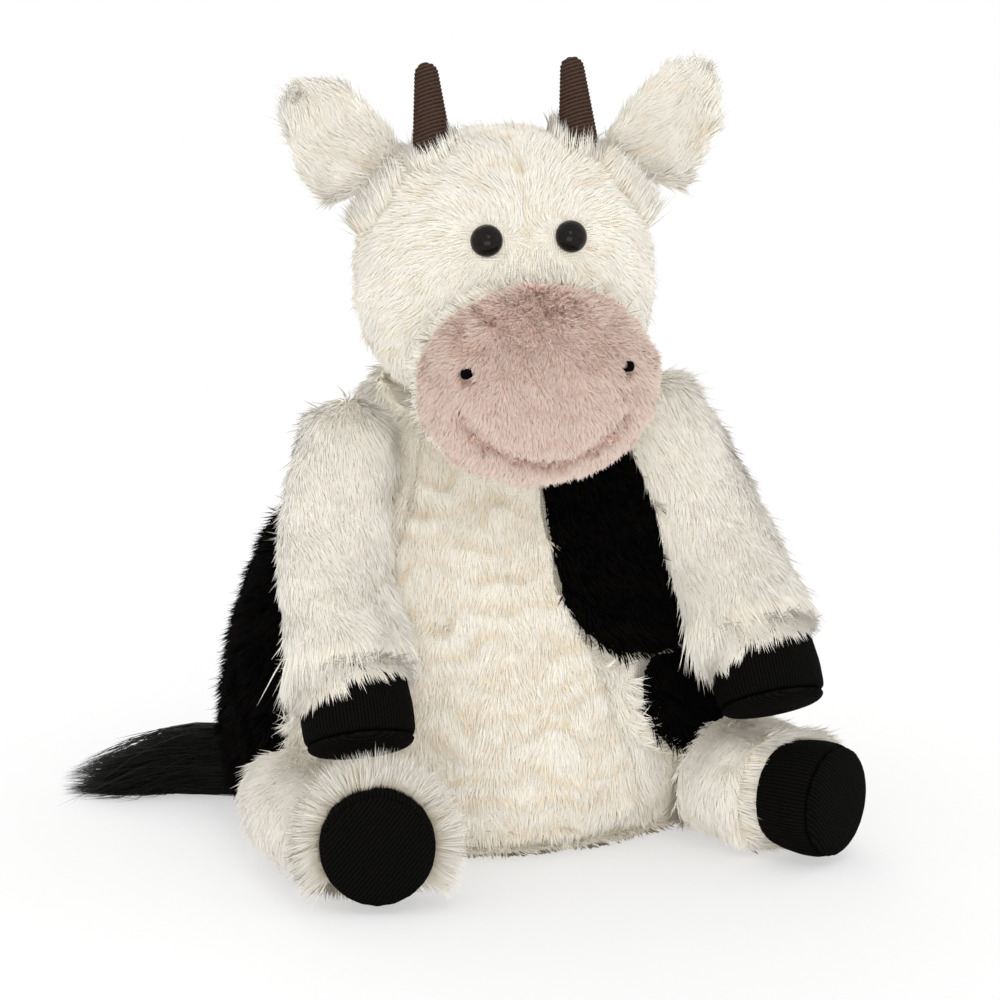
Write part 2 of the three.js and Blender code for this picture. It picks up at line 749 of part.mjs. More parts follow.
for (const [side, hand] of [
  ["left", 1],
  ["right", -1],
]) {
  // Arm, swung from a level axis square to the way it reaches.
  const shoulder = new THREE.Vector3(
    hand * shoulderSpread + shoulderShift,
    -shoulderForward,
    shoulderHeight,
  );
  const elbow = new THREE.Vector3(hand * elbowSpread + elbowShift, -elbowForward, elbowHeight);
  const cuff = new THREE.Vector3(hand * cuffSpread, -cuffForward, cuffHeight);
  const reach = cuff.clone().sub(shoulder).setZ(0).normalize();
  const raiseAxis = new THREE.Vector3(reach.y, -reach.x, 0);
  const armRoute = new THREE.CatmullRomCurve3([shoulder, elbow, cuff]);
  const armRing = (t) => {
    const fullness = roundEnds(t, ...armEndShares) / 2;
    return {
      wide: through([armTopWidth, armMiddleWidth, armCuffWidth], t) * fullness,
      high: through([armTopThickness, armMiddleThickness, armCuffThickness], t) * fullness,
    };
  };
  const along = cuff.clone().sub(shoulder).normalize();
  const outward = raiseAxis.clone().multiplyScalar(-1);
  const armAcross = outward.applyAxisAngle(along, hand * armTwist * degrees);
  const armForm = stuffed(armRoute, armAcross, armRing, 10, limbSides);
  const placeHand = (geometry) =>
    geometry
      .rotateX(Math.PI - handTilt * degrees)
      .rotateZ(hand * handTurn * degrees)
      .translate(...cuff);
  const handPocket = placeHand(hoofBand(handWidth, handThickness, handLength, seamGap));
  let arm = solidOf(armForm).subtract(solidOf(handPocket));
  arm = cutAlongSwing(arm, bodyForm(swingGap), shoulder, raiseAxis, armRaiseMost);
  arm = cutAlongSwing(arm, placedHead(swingGap), shoulder, raiseAxis, armRaiseMost);
  addPiece(cow, "arm_" + side, arm, whitePlush);
  const handBand = placeHand(hoofBand(handWidth, handThickness, handLength, 0));
  addPiece(cow, "hand_hoof_" + side, solidOf(handBand), blackCord);
  const handEnd = placeHand(hoofEnd(handWidth, handThickness, handLength));
  addPiece(cow, "hand_end_" + side, solidOf(handEnd), blackCord);

  // Leg, splayed about an upright axis at the hip.
  const hip = new THREE.Vector3(hand * hipSpread, -hipForward, legHeight / 2 - floorFlat);
  const ankle = new THREE.Vector3(
    hand * ankleSpread + ankleShift,
    -ankleForward,
    ankleHeight / 2 - floorFlat,
  );
  const knee = new THREE.Vector3(hand * kneeSpread + kneeShift, -kneeForward, hip.z);
  const legRoute = new THREE.CatmullRomCurve3([hip, knee, ankle]);
  const legRing = (t) => {
    const fullness = roundEnds(t, ...legEndShares) / 2;
    return {
      wide: through([thighWidth, thighWidth, ankleWidth], t) * fullness,
      high: through([legHeight, legHeight, ankleHeight], t) * fullness,
    };
  };
  const legForm = stuffed(legRoute, new THREE.Vector3(1, 0, 0), legRing, 10, limbSides);
  const footPlace = ankle.clone().setZ(footHeight / 2 + footRaise);
  const placeFoot = (geometry) =>
    geometry
      .rotateX(Math.PI / 2)
      .rotateZ((hand * footTurn + footTurnShift) * degrees)
      .translate(...footPlace);
  const footPocket = placeFoot(hoofBand(footWidth, footHeight, footLength, seamGap));
  const pivot = new THREE.Vector3(hand * legPivotSpread, -legPivotForward, 0);
  const splayAxis = new THREE.Vector3(0, 0, hand);
  let leg = aboveFloor(solidOf(legForm)).subtract(solidOf(footPocket));
  leg = cutAlongSwing(leg, bodyForm(swingGap), pivot, splayAxis, legSplayMost);
  leg = cutAlongSwing(leg, baseForm(swingGap), pivot, splayAxis, legSplayMost);
  addPiece(cow, "leg_" + side, leg, whitePlush);
  const footBand = placeFoot(hoofBand(footWidth, footHeight, footLength, 0));
  addPiece(cow, "foot_hoof_" + side, solidOf(footBand), blackCord);
  const footSole = placeFoot(hoofEnd(footWidth, footHeight, footLength));
  addPiece(cow, "foot_sole_" + side, solidOf(footSole), blackCord);
}

// Tail: the stub lies round the rump, and its tuft of hair points away from the body.
const aroundRump = (angle) =>
  new THREE.Vector3(
    (bodyWidth / 2 + tailProud) * Math.cos(angle * degrees),
    (bodyDepth / 2 + tailProud) * Math.sin(angle * degrees),
    tailHeight / 2 - floorFlat,
  );
const stubPoints = [0, 1 / 3, 2 / 3, 1].map((share) =>
  aroundRump(tailRootAngle + share * (tailSeamAngle - tailRootAngle)),
);
const stubRoute = new THREE.CatmullRomCurve3(stubPoints);
const stubRing = (t) => {
  const fullness = roundEnds(t, ...stubEndShares) / 2;
  return { wide: tailThickness * fullness, high: tailHeight * fullness };
};
const levelAcross = new THREE.Vector3(0, 1, 0);
const stubForm = stuffed(stubRoute, levelAcross, stubRing, 8, smallSides);
const tailPivot = stubPoints[0];
const tailAxis = new THREE.Vector3(0, 0, -1);
const stub = aboveFloor(solidOf(stubForm));
addPiece(
  cow,
  "tail_stub",
  cutAlongSwing(stub, bodyForm(swingGap), tailPivot, tailAxis, tailSwingMost),
  blackPlush,
);
const stubEnd = stubRoute.getPoint(1);
const stubAlong = stubRoute.getTangent(1);
const tuftStart = stubEnd.clone().addScaledVector(stubAlong, seamGap);
const tuftAway = new THREE.Vector3(Math.cos(tuftAngle * degrees), Math.sin(tuftAngle * degrees), 0);
const tuftTip = tuftStart.clone().addScaledVector(tuftAway, tuftLength).setZ(tuftTipHeight);
const tuftRoute = new THREE.QuadraticBezierCurve3(
  tuftStart,
  tuftStart.clone().addScaledVector(stubAlong, tuftBend),
  tuftTip,
);
const tuftRing = (t) => ({
  wide: (tailThickness / 2) * through(tuftWidthShares, t),
  high: (tailHeight / 2) * through(tuftHeightShares, t),
});
const tuft = aboveFloor(solidOf(stuffed(tuftRoute, levelAcross, tuftRing, 10, smallSides)));
addPiece(
  cow,
  "tail_tuft",
  cutAlongSwing(tuft, bodyForm(swingGap), tailPivot, tailAxis, tailSwingMost),
  tailHair,
);

export default cow;
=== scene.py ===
import json
import math

import bmesh
import bpy
import numpy as np
from mathutils import Matrix, Vector
from mathutils.bvhtree import BVHTree
from mathutils.kdtree import KDTree

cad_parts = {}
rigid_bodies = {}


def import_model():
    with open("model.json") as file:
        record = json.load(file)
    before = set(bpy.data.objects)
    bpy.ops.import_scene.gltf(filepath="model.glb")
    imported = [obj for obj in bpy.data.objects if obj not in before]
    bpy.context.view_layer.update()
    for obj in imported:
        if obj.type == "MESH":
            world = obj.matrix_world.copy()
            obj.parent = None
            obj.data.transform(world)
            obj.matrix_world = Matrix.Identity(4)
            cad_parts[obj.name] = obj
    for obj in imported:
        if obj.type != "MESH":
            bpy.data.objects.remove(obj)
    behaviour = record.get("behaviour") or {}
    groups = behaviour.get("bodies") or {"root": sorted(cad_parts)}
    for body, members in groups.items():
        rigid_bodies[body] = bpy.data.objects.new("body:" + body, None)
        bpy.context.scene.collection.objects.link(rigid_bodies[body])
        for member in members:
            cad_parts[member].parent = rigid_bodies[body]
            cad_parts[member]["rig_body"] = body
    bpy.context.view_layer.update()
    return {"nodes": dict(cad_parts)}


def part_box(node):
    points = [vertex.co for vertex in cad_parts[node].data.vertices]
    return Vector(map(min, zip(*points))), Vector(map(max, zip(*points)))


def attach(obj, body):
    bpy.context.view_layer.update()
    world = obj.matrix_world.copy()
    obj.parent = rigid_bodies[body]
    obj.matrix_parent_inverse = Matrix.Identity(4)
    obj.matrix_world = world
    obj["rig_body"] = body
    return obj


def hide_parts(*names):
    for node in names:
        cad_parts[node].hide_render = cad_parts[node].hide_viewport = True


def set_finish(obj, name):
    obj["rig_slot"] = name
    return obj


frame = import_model()


# The view: a long lens from a little to the toy's right and above, so that the near foot looks hardly larger
# than the far one. The frame is 345 mm wide at the toy.
view_azimuth = math.radians(-20)
view_elevation = math.radians(15)
view_distance = 3.6
mm_per_pixel = 0.000345
base_pixel = (485, 805)  # where the middle of the base panel lies in the photograph
photo_middle = 500

backwards = Vector(
    (
        math.sin(view_azimuth) * math.cos(view_elevation),
        -math.cos(view_azimuth) * math.cos(view_elevation),
        math.sin(view_elevation),
    )
)
sideways = Vector((math.cos(view_azimuth), math.sin(view_azimuth), 0))
upwards = backwards.cross(sideways)
aim = upwards * (base_pixel[1] - photo_middle) * mm_per_pixel
aim -= sideways * (base_pixel[0] - photo_middle) * mm_per_pixel
camera = bpy.data.objects.new("camera", bpy.data.cameras.new("camera"))
bpy.context.scene.collection.objects.link(camera)
camera.data.sensor_width = 36
camera.data.lens = 36 * view_distance / (1000 * mm_per_pixel)
camera.data.clip_end = 20
camera.matrix_world = Matrix.Translation(aim + backwards * view_distance) @ Matrix(
    (sideways, upwards, backwards)
).transposed().to_4x4()
bpy.context.scene.camera = camera
bpy.context.scene.view_settings.view_transform = "Standard"


# The light: an even white surround, and four large soft lamps that stand high and low in front, at the right
# and behind. The camera sees the surround as plain white.
class Nodes:
    """A value in a node tree, so that shader maths can be written as Python expressions."""

    def __init__(self, tree, socket=None):
        self.tree = tree
        self.socket = socket

    def node(self, kind, settings=None, **sockets):
        made = self.tree.nodes.new(kind)
        for name, value in (settings or {}).items():
            setattr(made, name, value)
        for name, value in sockets.items():
            place = made.inputs[int(name[1:])] if name[0] == "_" else made.inputs[name.replace("_", " ")]
            if isinstance(value, Nodes):
                self.tree.links.new(value.socket, place)
            else:
                place.default_value = value
        return made

    def wrap(self, socket):
        return Nodes(self.tree, socket)

    def math(self, operation, *values):
        sockets = {f"_{i}": value for i, value in enumerate(values)}
        return self.wrap(self.node("ShaderNodeMath", {"operation": operation}, **sockets).outputs[0])

    def __add__(self, other):
        return self.math("ADD", self, other)

    def __radd__(self, other):
        return self.math("ADD", other, self)

    def __sub__(self, other):
        return self.math("SUBTRACT", self, other)

    def __rsub__(self, other):
        return self.math("SUBTRACT", other, self)

    def __mul__(self, other):
        return self.math("MULTIPLY", self, other)

    def __rmul__(self, other):
        return self.math("MULTIPLY", other, self)

    def clamp(self):
        return self.math("MINIMUM", self.math("MAXIMUM", self, 0.0), 1.0)

    def step(self, low, high):
        """0 below low, 1 above high, smooth between."""
        settings = {"interpolation_type": "SMOOTHSTEP"}
        made = self.node("ShaderNodeMapRange", settings, _0=self, _1=low, _2=high, _3=0.0, _4=1.0)
        return self.wrap(made.outputs[0])

    def mix(self, first, second):
        """From the first colour to the second as this value goes from 0 to 1."""
        made = self.node("ShaderNodeMix", {"data_type": "RGBA"}, _0=self, _6=colour(first), _7=colour(second))
        return self.wrap(made.outputs[2])

    def noise(self, place, scale, detail=2.0):
        made = self.node("ShaderNodeTexNoise", Vector=place, Scale=scale, Detail=detail)
        return self.wrap(made.outputs[0])

    def place(self, name="Object"):
        return self.wrap(self.node("ShaderNodeTexCoord").outputs[name])

    def split(self, vector):
        made = self.node("ShaderNodeSeparateXYZ", _0=vector)
        return [self.wrap(socket) for socket in made.outputs]

    def bump(self, height, distance):
        return self.wrap(self.node("ShaderNodeBump", Height=height, Distance=distance).outputs[0])


def colour(value):
    return value if isinstance(value, Nodes) else (*value, 1)


def new_material(name):
    """A material with its surface shader, and the node writer for it."""
    material = bpy.data.materials.new(name)
    material.use_nodes = True
    return material, Nodes(material.node_tree), material.node_tree.nodes["Principled BSDF"]


def set_shader(write, shader, **sockets):
    for name, value in sockets.items():
        place = shader.inputs[name.replace("_", " ")]
        if isinstance(value, Nodes):
            write.tree.links.new(value.socket, place)
        else:
            place.default_value = value


surround = bpy.data.worlds.new("surround")
surround.use_nodes = True
bpy.context.scene.world = surround
write = Nodes(surround.node_tree)
paths = write.node("ShaderNodeLightPath")
seen = write.wrap(paths.outputs["Is Camera Ray"]) + write.wrap(paths.outputs["Is Glossy Ray"])
seen = (seen + write.wrap(paths.outputs["Is Transmission Ray"])).clamp()
surround_strength = 0.90
strength = surround_strength + seen * (1 - surround_strength)
backing = surround.node_tree.nodes["Background"]
backing.inputs["Color"].default_value = (1, 1, 1, 1)
surround.node_tree.links.new(strength.socket, backing.inputs["Strength"])

toy_middle = Vector((0, 0, 0.12))
for name, place, size, power in [
    ("lamp_high", (-0.2, -1.5, 1.6), 0.6, 3.2),
    ("lamp_right", (1.5, -1.1, 0.9), 1.0, 1),
    ("lamp_low", (-0.5, -1.5, 0.1), 1.0, 8.5),
    ("lamp_back", (0.1, 1.7, 1.2), 1.2, 9),
]:
    lamp = bpy.data.objects.new(name, bpy.data.lights.new(name, "AREA"))
    bpy.context.scene.collection.objects.link(lamp)
    lamp.data.size = size
    lamp.data.energy = power
    lamp.location = place
    lamp.rotation_euler = (toy_middle - Vector(place)).to_track_quat("-Z", "Y").to_euler()


# The floor: a pale table that fades into the white surround, and keeps the toy's soft shadow.
table_reach = 6
fade_starts = 0.2
fade_ends = 0.42
floor_mesh = bmesh.new()
bmesh.ops.create_grid(floor_mesh, x_segments=1, y_segments=1, size=table_reach)
floor_data = bpy.data.meshes.new("floor")
floor_mesh.to_mesh(floor_data)
floor_mesh.free()
floor = bpy.data.objects.new("floor", floor_data)
bpy.context.scene.collection.objects.link(floor)
floor_material, write, shader = new_material("pale_table")
set_shader(write, shader, Base_Color=(0.96, 0.96, 0.955, 1), Roughness=0.9, Specular_IOR_Level=0.1)
away = write.node("ShaderNodeVectorMath", {"operation": "LENGTH"}, _0=write.place())
faded = write.wrap(away.outputs["Value"]).step(fade_starts, fade_ends)
paths = write.node("ShaderNodeLightPath")
seen = write.wrap(paths.outputs["Is Camera Ray"])
white = write.node("ShaderNodeEmission", Color=(1, 1, 1, 1), Strength=1.0)
share = faded * 0.5 + 0.5
mixed = write.node(
    "ShaderNodeMixShader", _0=share * seen, _1=write.wrap(shader.outputs[0]), _2=write.wrap(white.outputs[0])
)
write.tree.links.new(mixed.outputs[0], write.tree.nodes["Material Output"].inputs["Surface"])
floor_data.materials.append(floor_material)


# The body: a pear of long-haired plush, stuffed with wadding, with panels let into it. Each stuffed form's skin
# is its solid with an even mesh, drawn in by the depth of the pile on it. The pile is fibres, each a thin
# closed kite, brushed one way and drawn together in locks.
def points_of(mesh, what="vertices"):
    values = np.empty(len(getattr(mesh, what)) * 3)
    getattr(mesh, what).foreach_get("vector" if what == "vertex_normals" else "co", values)
    return values.reshape(-1, 3)


def corners_of(mesh):
    mesh.calc_loop_triangles()
    corners = np.empty(len(mesh.loop_triangles) * 3, np.int32)
    mesh.loop_triangles.foreach_get("vertices", corners)
    return corners.reshape(-1, 3)


def node_points(node):
    return points_of(frame["nodes"][node].data)


def unit(vectors):
    return vectors / np.maximum(np.linalg.norm(vectors, axis=-1, keepdims=True), 1e-9)


def ripple(points, period, rng):
    """A smooth random value from -1 to 1 over space, that changes over about a period."""
    total = np.zeros(len(points))
    for _ in range(5):
        wave = unit(rng.normal(size=3)) * 2 * math.pi / (period * rng.uniform(0.7, 1.5))
        total += np.sin(points @ wave + rng.uniform(0, 6.3))
    return total / 2.2


def row_of(points, across, period=0.011):
    """How far each point lies up or down in the rows that the pile falls into, from -1 to 1."""
    rng = np.random.default_rng(7)
    phase = points @ np.array(across) / period + 0.35 * ripple(points, 0.022, rng)
    return (2 * (phase % 1) ** 0.7 - 1) * (0.6 + 0.4 * ripple(points, 0.02, rng))


lump_height = 0.0004
lump_period = 0.013
row_lumps = 1.6
least_lumpy_depth = 0.0005
above_floor = 0.0002


def skin(
    name, node, body, slot, material, depth=0.0, voxel=0.0022, smoothing=4, across=(0, 0, 1),
    kept=0.5,
):
    """A piece of cloth round the wadding of one solid. Of its even mesh, a share of the faces is kept."""
    mesh = frame["nodes"][node].data.copy()
    mesh.materials.clear()
    merged = bmesh.new()
    merged.from_mesh(mesh)
    bmesh.ops.remove_doubles(merged, verts=merged.verts, dist=1e-6)
    merged.to_mesh(mesh)
    merged.free()
    piece = bpy.data.objects.new(name, mesh)
    bpy.context.scene.collection.objects.link(piece)
    remesh = piece.modifiers.new("even", "REMESH")
    remesh.mode = "VOXEL"
    remesh.voxel_size = voxel
    smooth = piece.modifiers.new("soft", "SMOOTH")
    smooth.iterations = smoothing
    smooth.factor = 0.5
    if kept < 1:
        coarser = piece.modifiers.new("coarser", "DECIMATE")
        coarser.ratio = kept
    made = bpy.data.meshes.new_from_object(piece.evaluated_get(bpy.context.evaluated_depsgraph_get()))
    piece.modifiers.clear()
    made.name = name
    piece.data = made
    place = points_of(made) - points_of(made, "vertex_normals") * depth
    lumps = ripple(place, lump_period, np.random.default_rng(7)) + row_lumps * row_of(place, across)
    if depth > least_lumpy_depth:
        place += points_of(made, "vertex_normals") * (lump_height * lumps)[:, None]
    place[:, 2] = np.maximum(place[:, 2], above_floor)
    made.vertices.foreach_set("co", place.reshape(-1).astype(np.float32))
    made.polygons.foreach_set("use_smooth", np.ones(len(made.polygons), bool))
    made.update()
    made.materials.append(material)
    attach(piece, body)
    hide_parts(node)
    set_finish(piece, slot)
    return piece


def tree_without(nodes):
    """All the other solids, which keep the pile from growing into a neighbour."""
    points, faces, count = [], [], 0
    for node, piece in frame["nodes"].items():
        if node not in nodes:
            points.append(node_points(node))
            faces.append(corners_of(piece.data) + count)
            count += len(points[-1])
    return BVHTree.FromPolygons(np.concatenate(points).tolist(), np.concatenate(faces).tolist())


def distance_to(points, targets):
    tree = KDTree(len(targets))
    for i, target in enumerate(targets):
        tree.insert(target, i)
    tree.balance()
    return np.array([tree.find(point)[2] for point in points.tolist()])


def sampled(piece, per_mm2, rng):
    """Random places on a skin, with its smooth normals there."""
    co, normals = points_of(piece.data), points_of(piece.data, "vertex_normals")
    corners = corners_of(piece.data)
    first, second, third = co[corners[:, 0]], co[corners[:, 1]], co[corners[:, 2]]
    area = np.linalg.norm(np.cross(second - first, third - first), axis=1) / 2
    count = int(area.sum() * 1e6 * per_mm2)
    chosen = corners[rng.choice(len(corners), count, p=area / area.sum())]
    a, b = rng.random(count), rng.random(count)
    flip = a + b > 1
    a[flip], b[flip] = 1 - a[flip], 1 - b[flip]
    weights = np.stack([1 - a - b, a, b], axis=1)[:, :, None]
    return (co[chosen] * weights).sum(1), unit((normals[chosen] * weights).sum(1))


def fibre_mesh(name, body, slot, material, roots, middles, tips, normals, widths, tint):
    """One mesh of closed fibres. The map OFBake holds each fibre's tint and the place along it."""
    count = len(roots)
    along = unit(tips - roots)
    side = unit(np.cross(normals, along))
    edge = side * widths[:, None] / 2
    co = np.stack([roots, tips, middles + edge, middles - edge], axis=1)
    upper = unit(np.cross(along, side))
    soft_normals = unit(upper * 0.6 + normals * 0.4)
    rounded = side * 0.35
    soft = np.stack([soft_normals, soft_normals, soft_normals + rounded, soft_normals - rounded], axis=1)
    kite = np.array([[0, 2, 1], [0, 1, 3], [0, 3, 2], [1, 2, 3]], np.int32)
    corners = (kite[None] + np.arange(count, dtype=np.int32)[:, None, None] * 4).reshape(-1)
    mesh = bpy.data.meshes.new(name)
    mesh.vertices.add(count * 4)
    mesh.vertices.foreach_set("co", co.reshape(-1).astype(np.float32))
    mesh.loops.add(len(corners))
    mesh.loops.foreach_set("vertex_index", corners)
    mesh.polygons.add(len(corners) // 3)
    mesh.polygons.foreach_set("loop_start", np.arange(0, len(corners), 3, dtype=np.int32))
    uv = np.empty((count, 4, 2), np.float32)
    uv[:, :, 0] = tint[:, None] + np.array([0, 0, -0.012, 0.012])
    uv[:, :, 1] = np.array([0.01, 0.99, 0.5, 0.5])
    layer = mesh.uv_layers.new(name="OFBake")
    layer.uv.foreach_set("vector", np.clip(uv.reshape(-1, 2)[corners], 0.001, 0.999).reshape(-1))
    mesh.update()
    edges = np.repeat(np.stack([side, -side], axis=1), 3, axis=1) * 0.6 + along[:, None] * 0.6
    shading = unit(np.concatenate([edges, soft[:, kite[2:].reshape(-1)]], axis=1))
    smooth = mesh.attributes.new("custom_normal", "FLOAT_VECTOR", "CORNER")
    smooth.data.foreach_set("vector", shading.reshape(-1).astype(np.float32))
    mesh.materials.append(material)
    piece = bpy.data.objects.new(name, mesh)
    bpy.context.scene.collection.objects.link(piece)
    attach(piece, body)
    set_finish(piece, slot)
    return piece


most_fibres = 49000  # in one piece
cut_even = 0.14  # how much the fibres' lengths differ
wander = 0.3  # how far the brushing wanders to the sides
wander_period = 0.016
root_sunk = 0.0004
widest_at = 0.45  # along a fibre
lifted = 0.03  # the fibre's middle, as a share of its length
loose_lean = 0.25
loose_longer = 0.15
tint_spread = 0.09
lock_tint = 0.06
# Painted shade: fibres low in a row of the pile are tinted warmer and darker.
row_cleft_shade = 0.36


def pile(
    name, on, own, material, per_mm2, length, width, comb, lean=1.36, lean_by=None, lock=0.003, pull=0.18,
    rows=0.1, across=(0, 0, 1), jitter=0.085, loose=0.06, slot=None, seed=1, keep=None, stretch=None,
    shade=None, depth=0.0045, facing=None, along_skin=True,
):
    """Fibres over one skin, per_mm2 to a square millimetre. comb(points, normals) is the way they are
    brushed, lean how far they lie down, and facing the way that their flats are turned."""
    rng = np.random.default_rng(seed)
    points, normals = sampled(on, per_mm2, rng)
    tree = tree_without(own)
    room = np.full(len(points), length * 2)
    for i, (point, normal) in enumerate(zip(points.tolist(), normals.tolist())):
        hit = tree.ray_cast(point, normal, length * 1.5)
        if hit[0] is not None:
            room[i] = hit[3]
    kept = (room > depth) & (points[:, 2] > 0.0008)
    if keep is not None:
        kept &= keep(points, normals)
    points, normals, room = points[kept], normals[kept], room[kept]
    count = len(points)
    brushed = comb(points, normals)
    if along_skin:
        brushed = brushed - normals * (brushed * normals).sum(1, keepdims=True)
    brushed = unit(brushed)
    sideways = np.cross(normals, brushed)
    row = row_of(points, across)
    free = rng.random(count) < loose
    tilt = (lean if lean_by is None else lean_by(points)) + rows * row - loose_lean * free
    brushed = unit(brushed + sideways * (wander * ripple(points, wander_period, rng))[:, None])
    direction = normals * np.cos(tilt)[:, None] + brushed * np.sin(tilt)[:, None]
    direction = unit(direction + rng.normal(size=(count, 3)) * (jitter * (1 + free))[:, None])
    reach = length * (1 + cut_even * rng.normal(size=count).clip(-2, 2) + loose_longer * free)
    if stretch is not None:
        reach = reach * stretch(points)
    reach = np.minimum(reach, room * 1.2)
    locks = np.unique((points / lock).round().astype(int), axis=0, return_inverse=True)[1].reshape(-1)
    leader = np.zeros(locks.max() + 1, int)
    leader[locks] = np.arange(count)
    leader = leader[locks]
    gathered = points[leader] + direction[leader] * reach[leader][:, None]
    share = (pull * rng.uniform(0.4, 1.3, count)).clip(0, 0.95)[:, None]
    tips = (points + direction * reach[:, None]) * (1 - share) + gathered * share
    tips = points + unit(tips - points) * reach[:, None]
    roots = points - normals * root_sunk
    if facing is not None:
        shown = facing(points, normals)
        normals = unit(shown - direction * (direction * shown).sum(1, keepdims=True))
    middles = points + (tips - points) * widest_at + normals * (reach * lifted)[:, None]
    for place in (middles, tips):
        place[:, 2] = np.maximum(place[:, 2], 0.0003 + rng.random(count) * 0.0012)
    widths = width * rng.uniform(0.7, 1.35, count) * (1 - 0.3 * free)
    tint = 0.5 + tint_spread * rng.normal(size=count)
    # Painted shade in the clefts of the rows, and a random tint for each lock.
    tint += lock_tint * rng.normal(size=count)[leader] + row_cleft_shade * row
    if shade is not None:
        tint = shade(points, tint)
    tint = tint.clip(0.02, 0.98)
    pieces = math.ceil(count / most_fibres)
    for k in range(pieces):
        part = slice(k, None, pieces)
        fibre_mesh(
            name + (f"_{k + 1}" if pieces > 1 else ""), on["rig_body"], slot or on["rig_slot"], material,
            roots[part], middles[part], tips[part], normals[part], widths[part], tint[part],
        )


def pile_material(name, root, half_way, tip, warm, roughness=0.9, gloss=0.1, glow=(0, 0, 0), sheen=0.0):
    """Colour from the root of each fibre to its tip, darker and warmer at the root, partly painted shade deep
    in the pile, with warmer fibres among them; the warm colour also paints shade where a tint is lowered. The
    glow is painted light, an emission that stands in for the light that pale fibres pass on to each other."""
    material, write, shader = new_material(name)
    tint, along, _ = write.split(write.place("UV"))
    fibre_colour = along.step(0.0, 0.5).mix(root, half_way)
    fibre_colour = along.step(0.4, 0.98).mix(fibre_colour, tip)
    warmed = tint.step(0.5, 0.0) * (1 - along * 0.4)
    fibre_colour = warmed.mix(fibre_colour, warm)
    set_shader(
        write, shader, Base_Color=fibre_colour, Roughness=roughness, Specular_IOR_Level=gloss,
        Emission_Color=(*glow, 1), Emission_Strength=1.0,
        Sheen_Weight=sheen, Sheen_Roughness=0.6, Sheen_Tint=(1, 0.97, 0.92, 1),
    )
    return material


def backing_material(name, base, dark, weave=0.0009, glow=(0, 0, 0)):
    """The knitted backing that shows between the fibres. Its glow is painted light, an emission that stands in
    for light passed on from the fibres.
    """
    material, write, shader = new_material(name)
    place = write.place()
    x, _, z = write.split(place)
    knit = write.math("SINE", x * (2 * math.pi / weave)) + write.math("SINE", z * (2 * math.pi / weave))
    blotch = write.noise(place, 60.0, 3.0)
    set_shader(
        write, shader, Base_Color=blotch.step(0.35, 0.65).mix(dark, base), Roughness=0.95,
        Specular_IOR_Level=0.05, Normal=write.bump(knit * 0.5, 0.0002), Emission_Color=(*glow, 1),
        Emission_Strength=1.0,
    )
    return material


def down(points, normals):
    return np.tile([0.0, 0.0, -1.0], (len(points), 1))


# Painted glow: an emission on the white pile and backing that stands in for light scattered among the fibres.
white_painted_glow = (0.10, 0.089, 0.072)
white_backing = backing_material("white_backing", (0.93, 0.89, 0.79), (0.90, 0.85, 0.73), glow=white_painted_glow)
white_pile = pile_material(
    "white_pile", root=(0.87, 0.79, 0.63), half_way=(0.93, 0.89, 0.80), tip=(0.955, 0.935, 0.88),
    warm=(0.82, 0.69, 0.49), glow=white_painted_glow, sheen=0.15,
)
black_backing = backing_material("black_backing", (0.002, 0.0018, 0.0018), (0.001, 0.001, 0.001))
black_pile = pile_material(
    "black_pile", root=(0.001, 0.0009, 0.0008), half_way=(0.002, 0.0018, 0.0016), tip=(0.006, 0.005, 0.0045),
    warm=(0.003, 0.002, 0.0015), roughness=0.8, gloss=0.02,
)
white_length = 0.0062
white_density = 2.3
fibre_width = 0.00032
pile_height = 0.0040
black_patches = ["chest_patch", "flank_patch_left", "rump_panel"]
torso_nodes = ["body", "belly_panel", *black_patches]
touching = ["arm_left", "arm_right", "leg_left", "leg_right", "head", "horn_left", "horn_right"]
toy_front = np.array([0, -1.0, 0])
neck_height = 0.145


def shown_to(front, share, back=-0.4):
    """The flat of each fibre lies along the skin, turned by a share to the front."""

    def facing(points, normals):
        return normals + np.where(normals @ front > back, share, 0)[:, None] * front

    return facing


def between_patches(points, normals):
    away = np.sort([distance_to(points, node_points(patch)) for patch in black_patches], axis=0)
    return away[1] > 0.006


def long_at_neck(points):
    return 1 + 0.3 * ((points[:, 2] - neck_height) / 0.01).clip(0, 1)


body_skin = skin("body_skin", "body", "torso", "white_plush", white_backing, pile_height, voxel=0.003)
pile(
    "body_pile", body_skin, ["body", *touching], white_pile, per_mm2=1.7, length=white_length, width=0.00035,
    comb=down, seed=11, depth=0.0055, keep=between_patches, stretch=long_at_neck,
)


# The belly: a panel of plush sewn into the front of the body, its pile painted warmer and darker for the shade
# under the arms and head. Its pile is brushed down, and lies in rows from side to side.
def outward(points, normals):
    """Only the side of a panel that faces away from the body's middle line."""
    away = points * [1, 1.5, 0]
    return (away * normals).sum(1) > 0.1 * np.linalg.norm(away, axis=1)


# Painted shade: the belly's pile is tinted warmer and darker.
def belly_painted_shade(points, tint):
    return tint - 0.22


panel_voxel = 0.0012
panel_faces_kept = 0.35
belly_skin = skin(
    "belly_skin", "belly_panel", "torso", "white_plush", white_backing, 0.001, voxel=panel_voxel,
    smoothing=2, kept=panel_faces_kept,
)
pile(
    "belly_pile", belly_skin, ["belly_panel", "base_panel", *touching], white_pile, per_mm2=3.0,
    length=0.0052, width=fibre_width, comb=down, seed=12, keep=outward, depth=0.0015, rows=0.3,
    shade=belly_painted_shade,
)


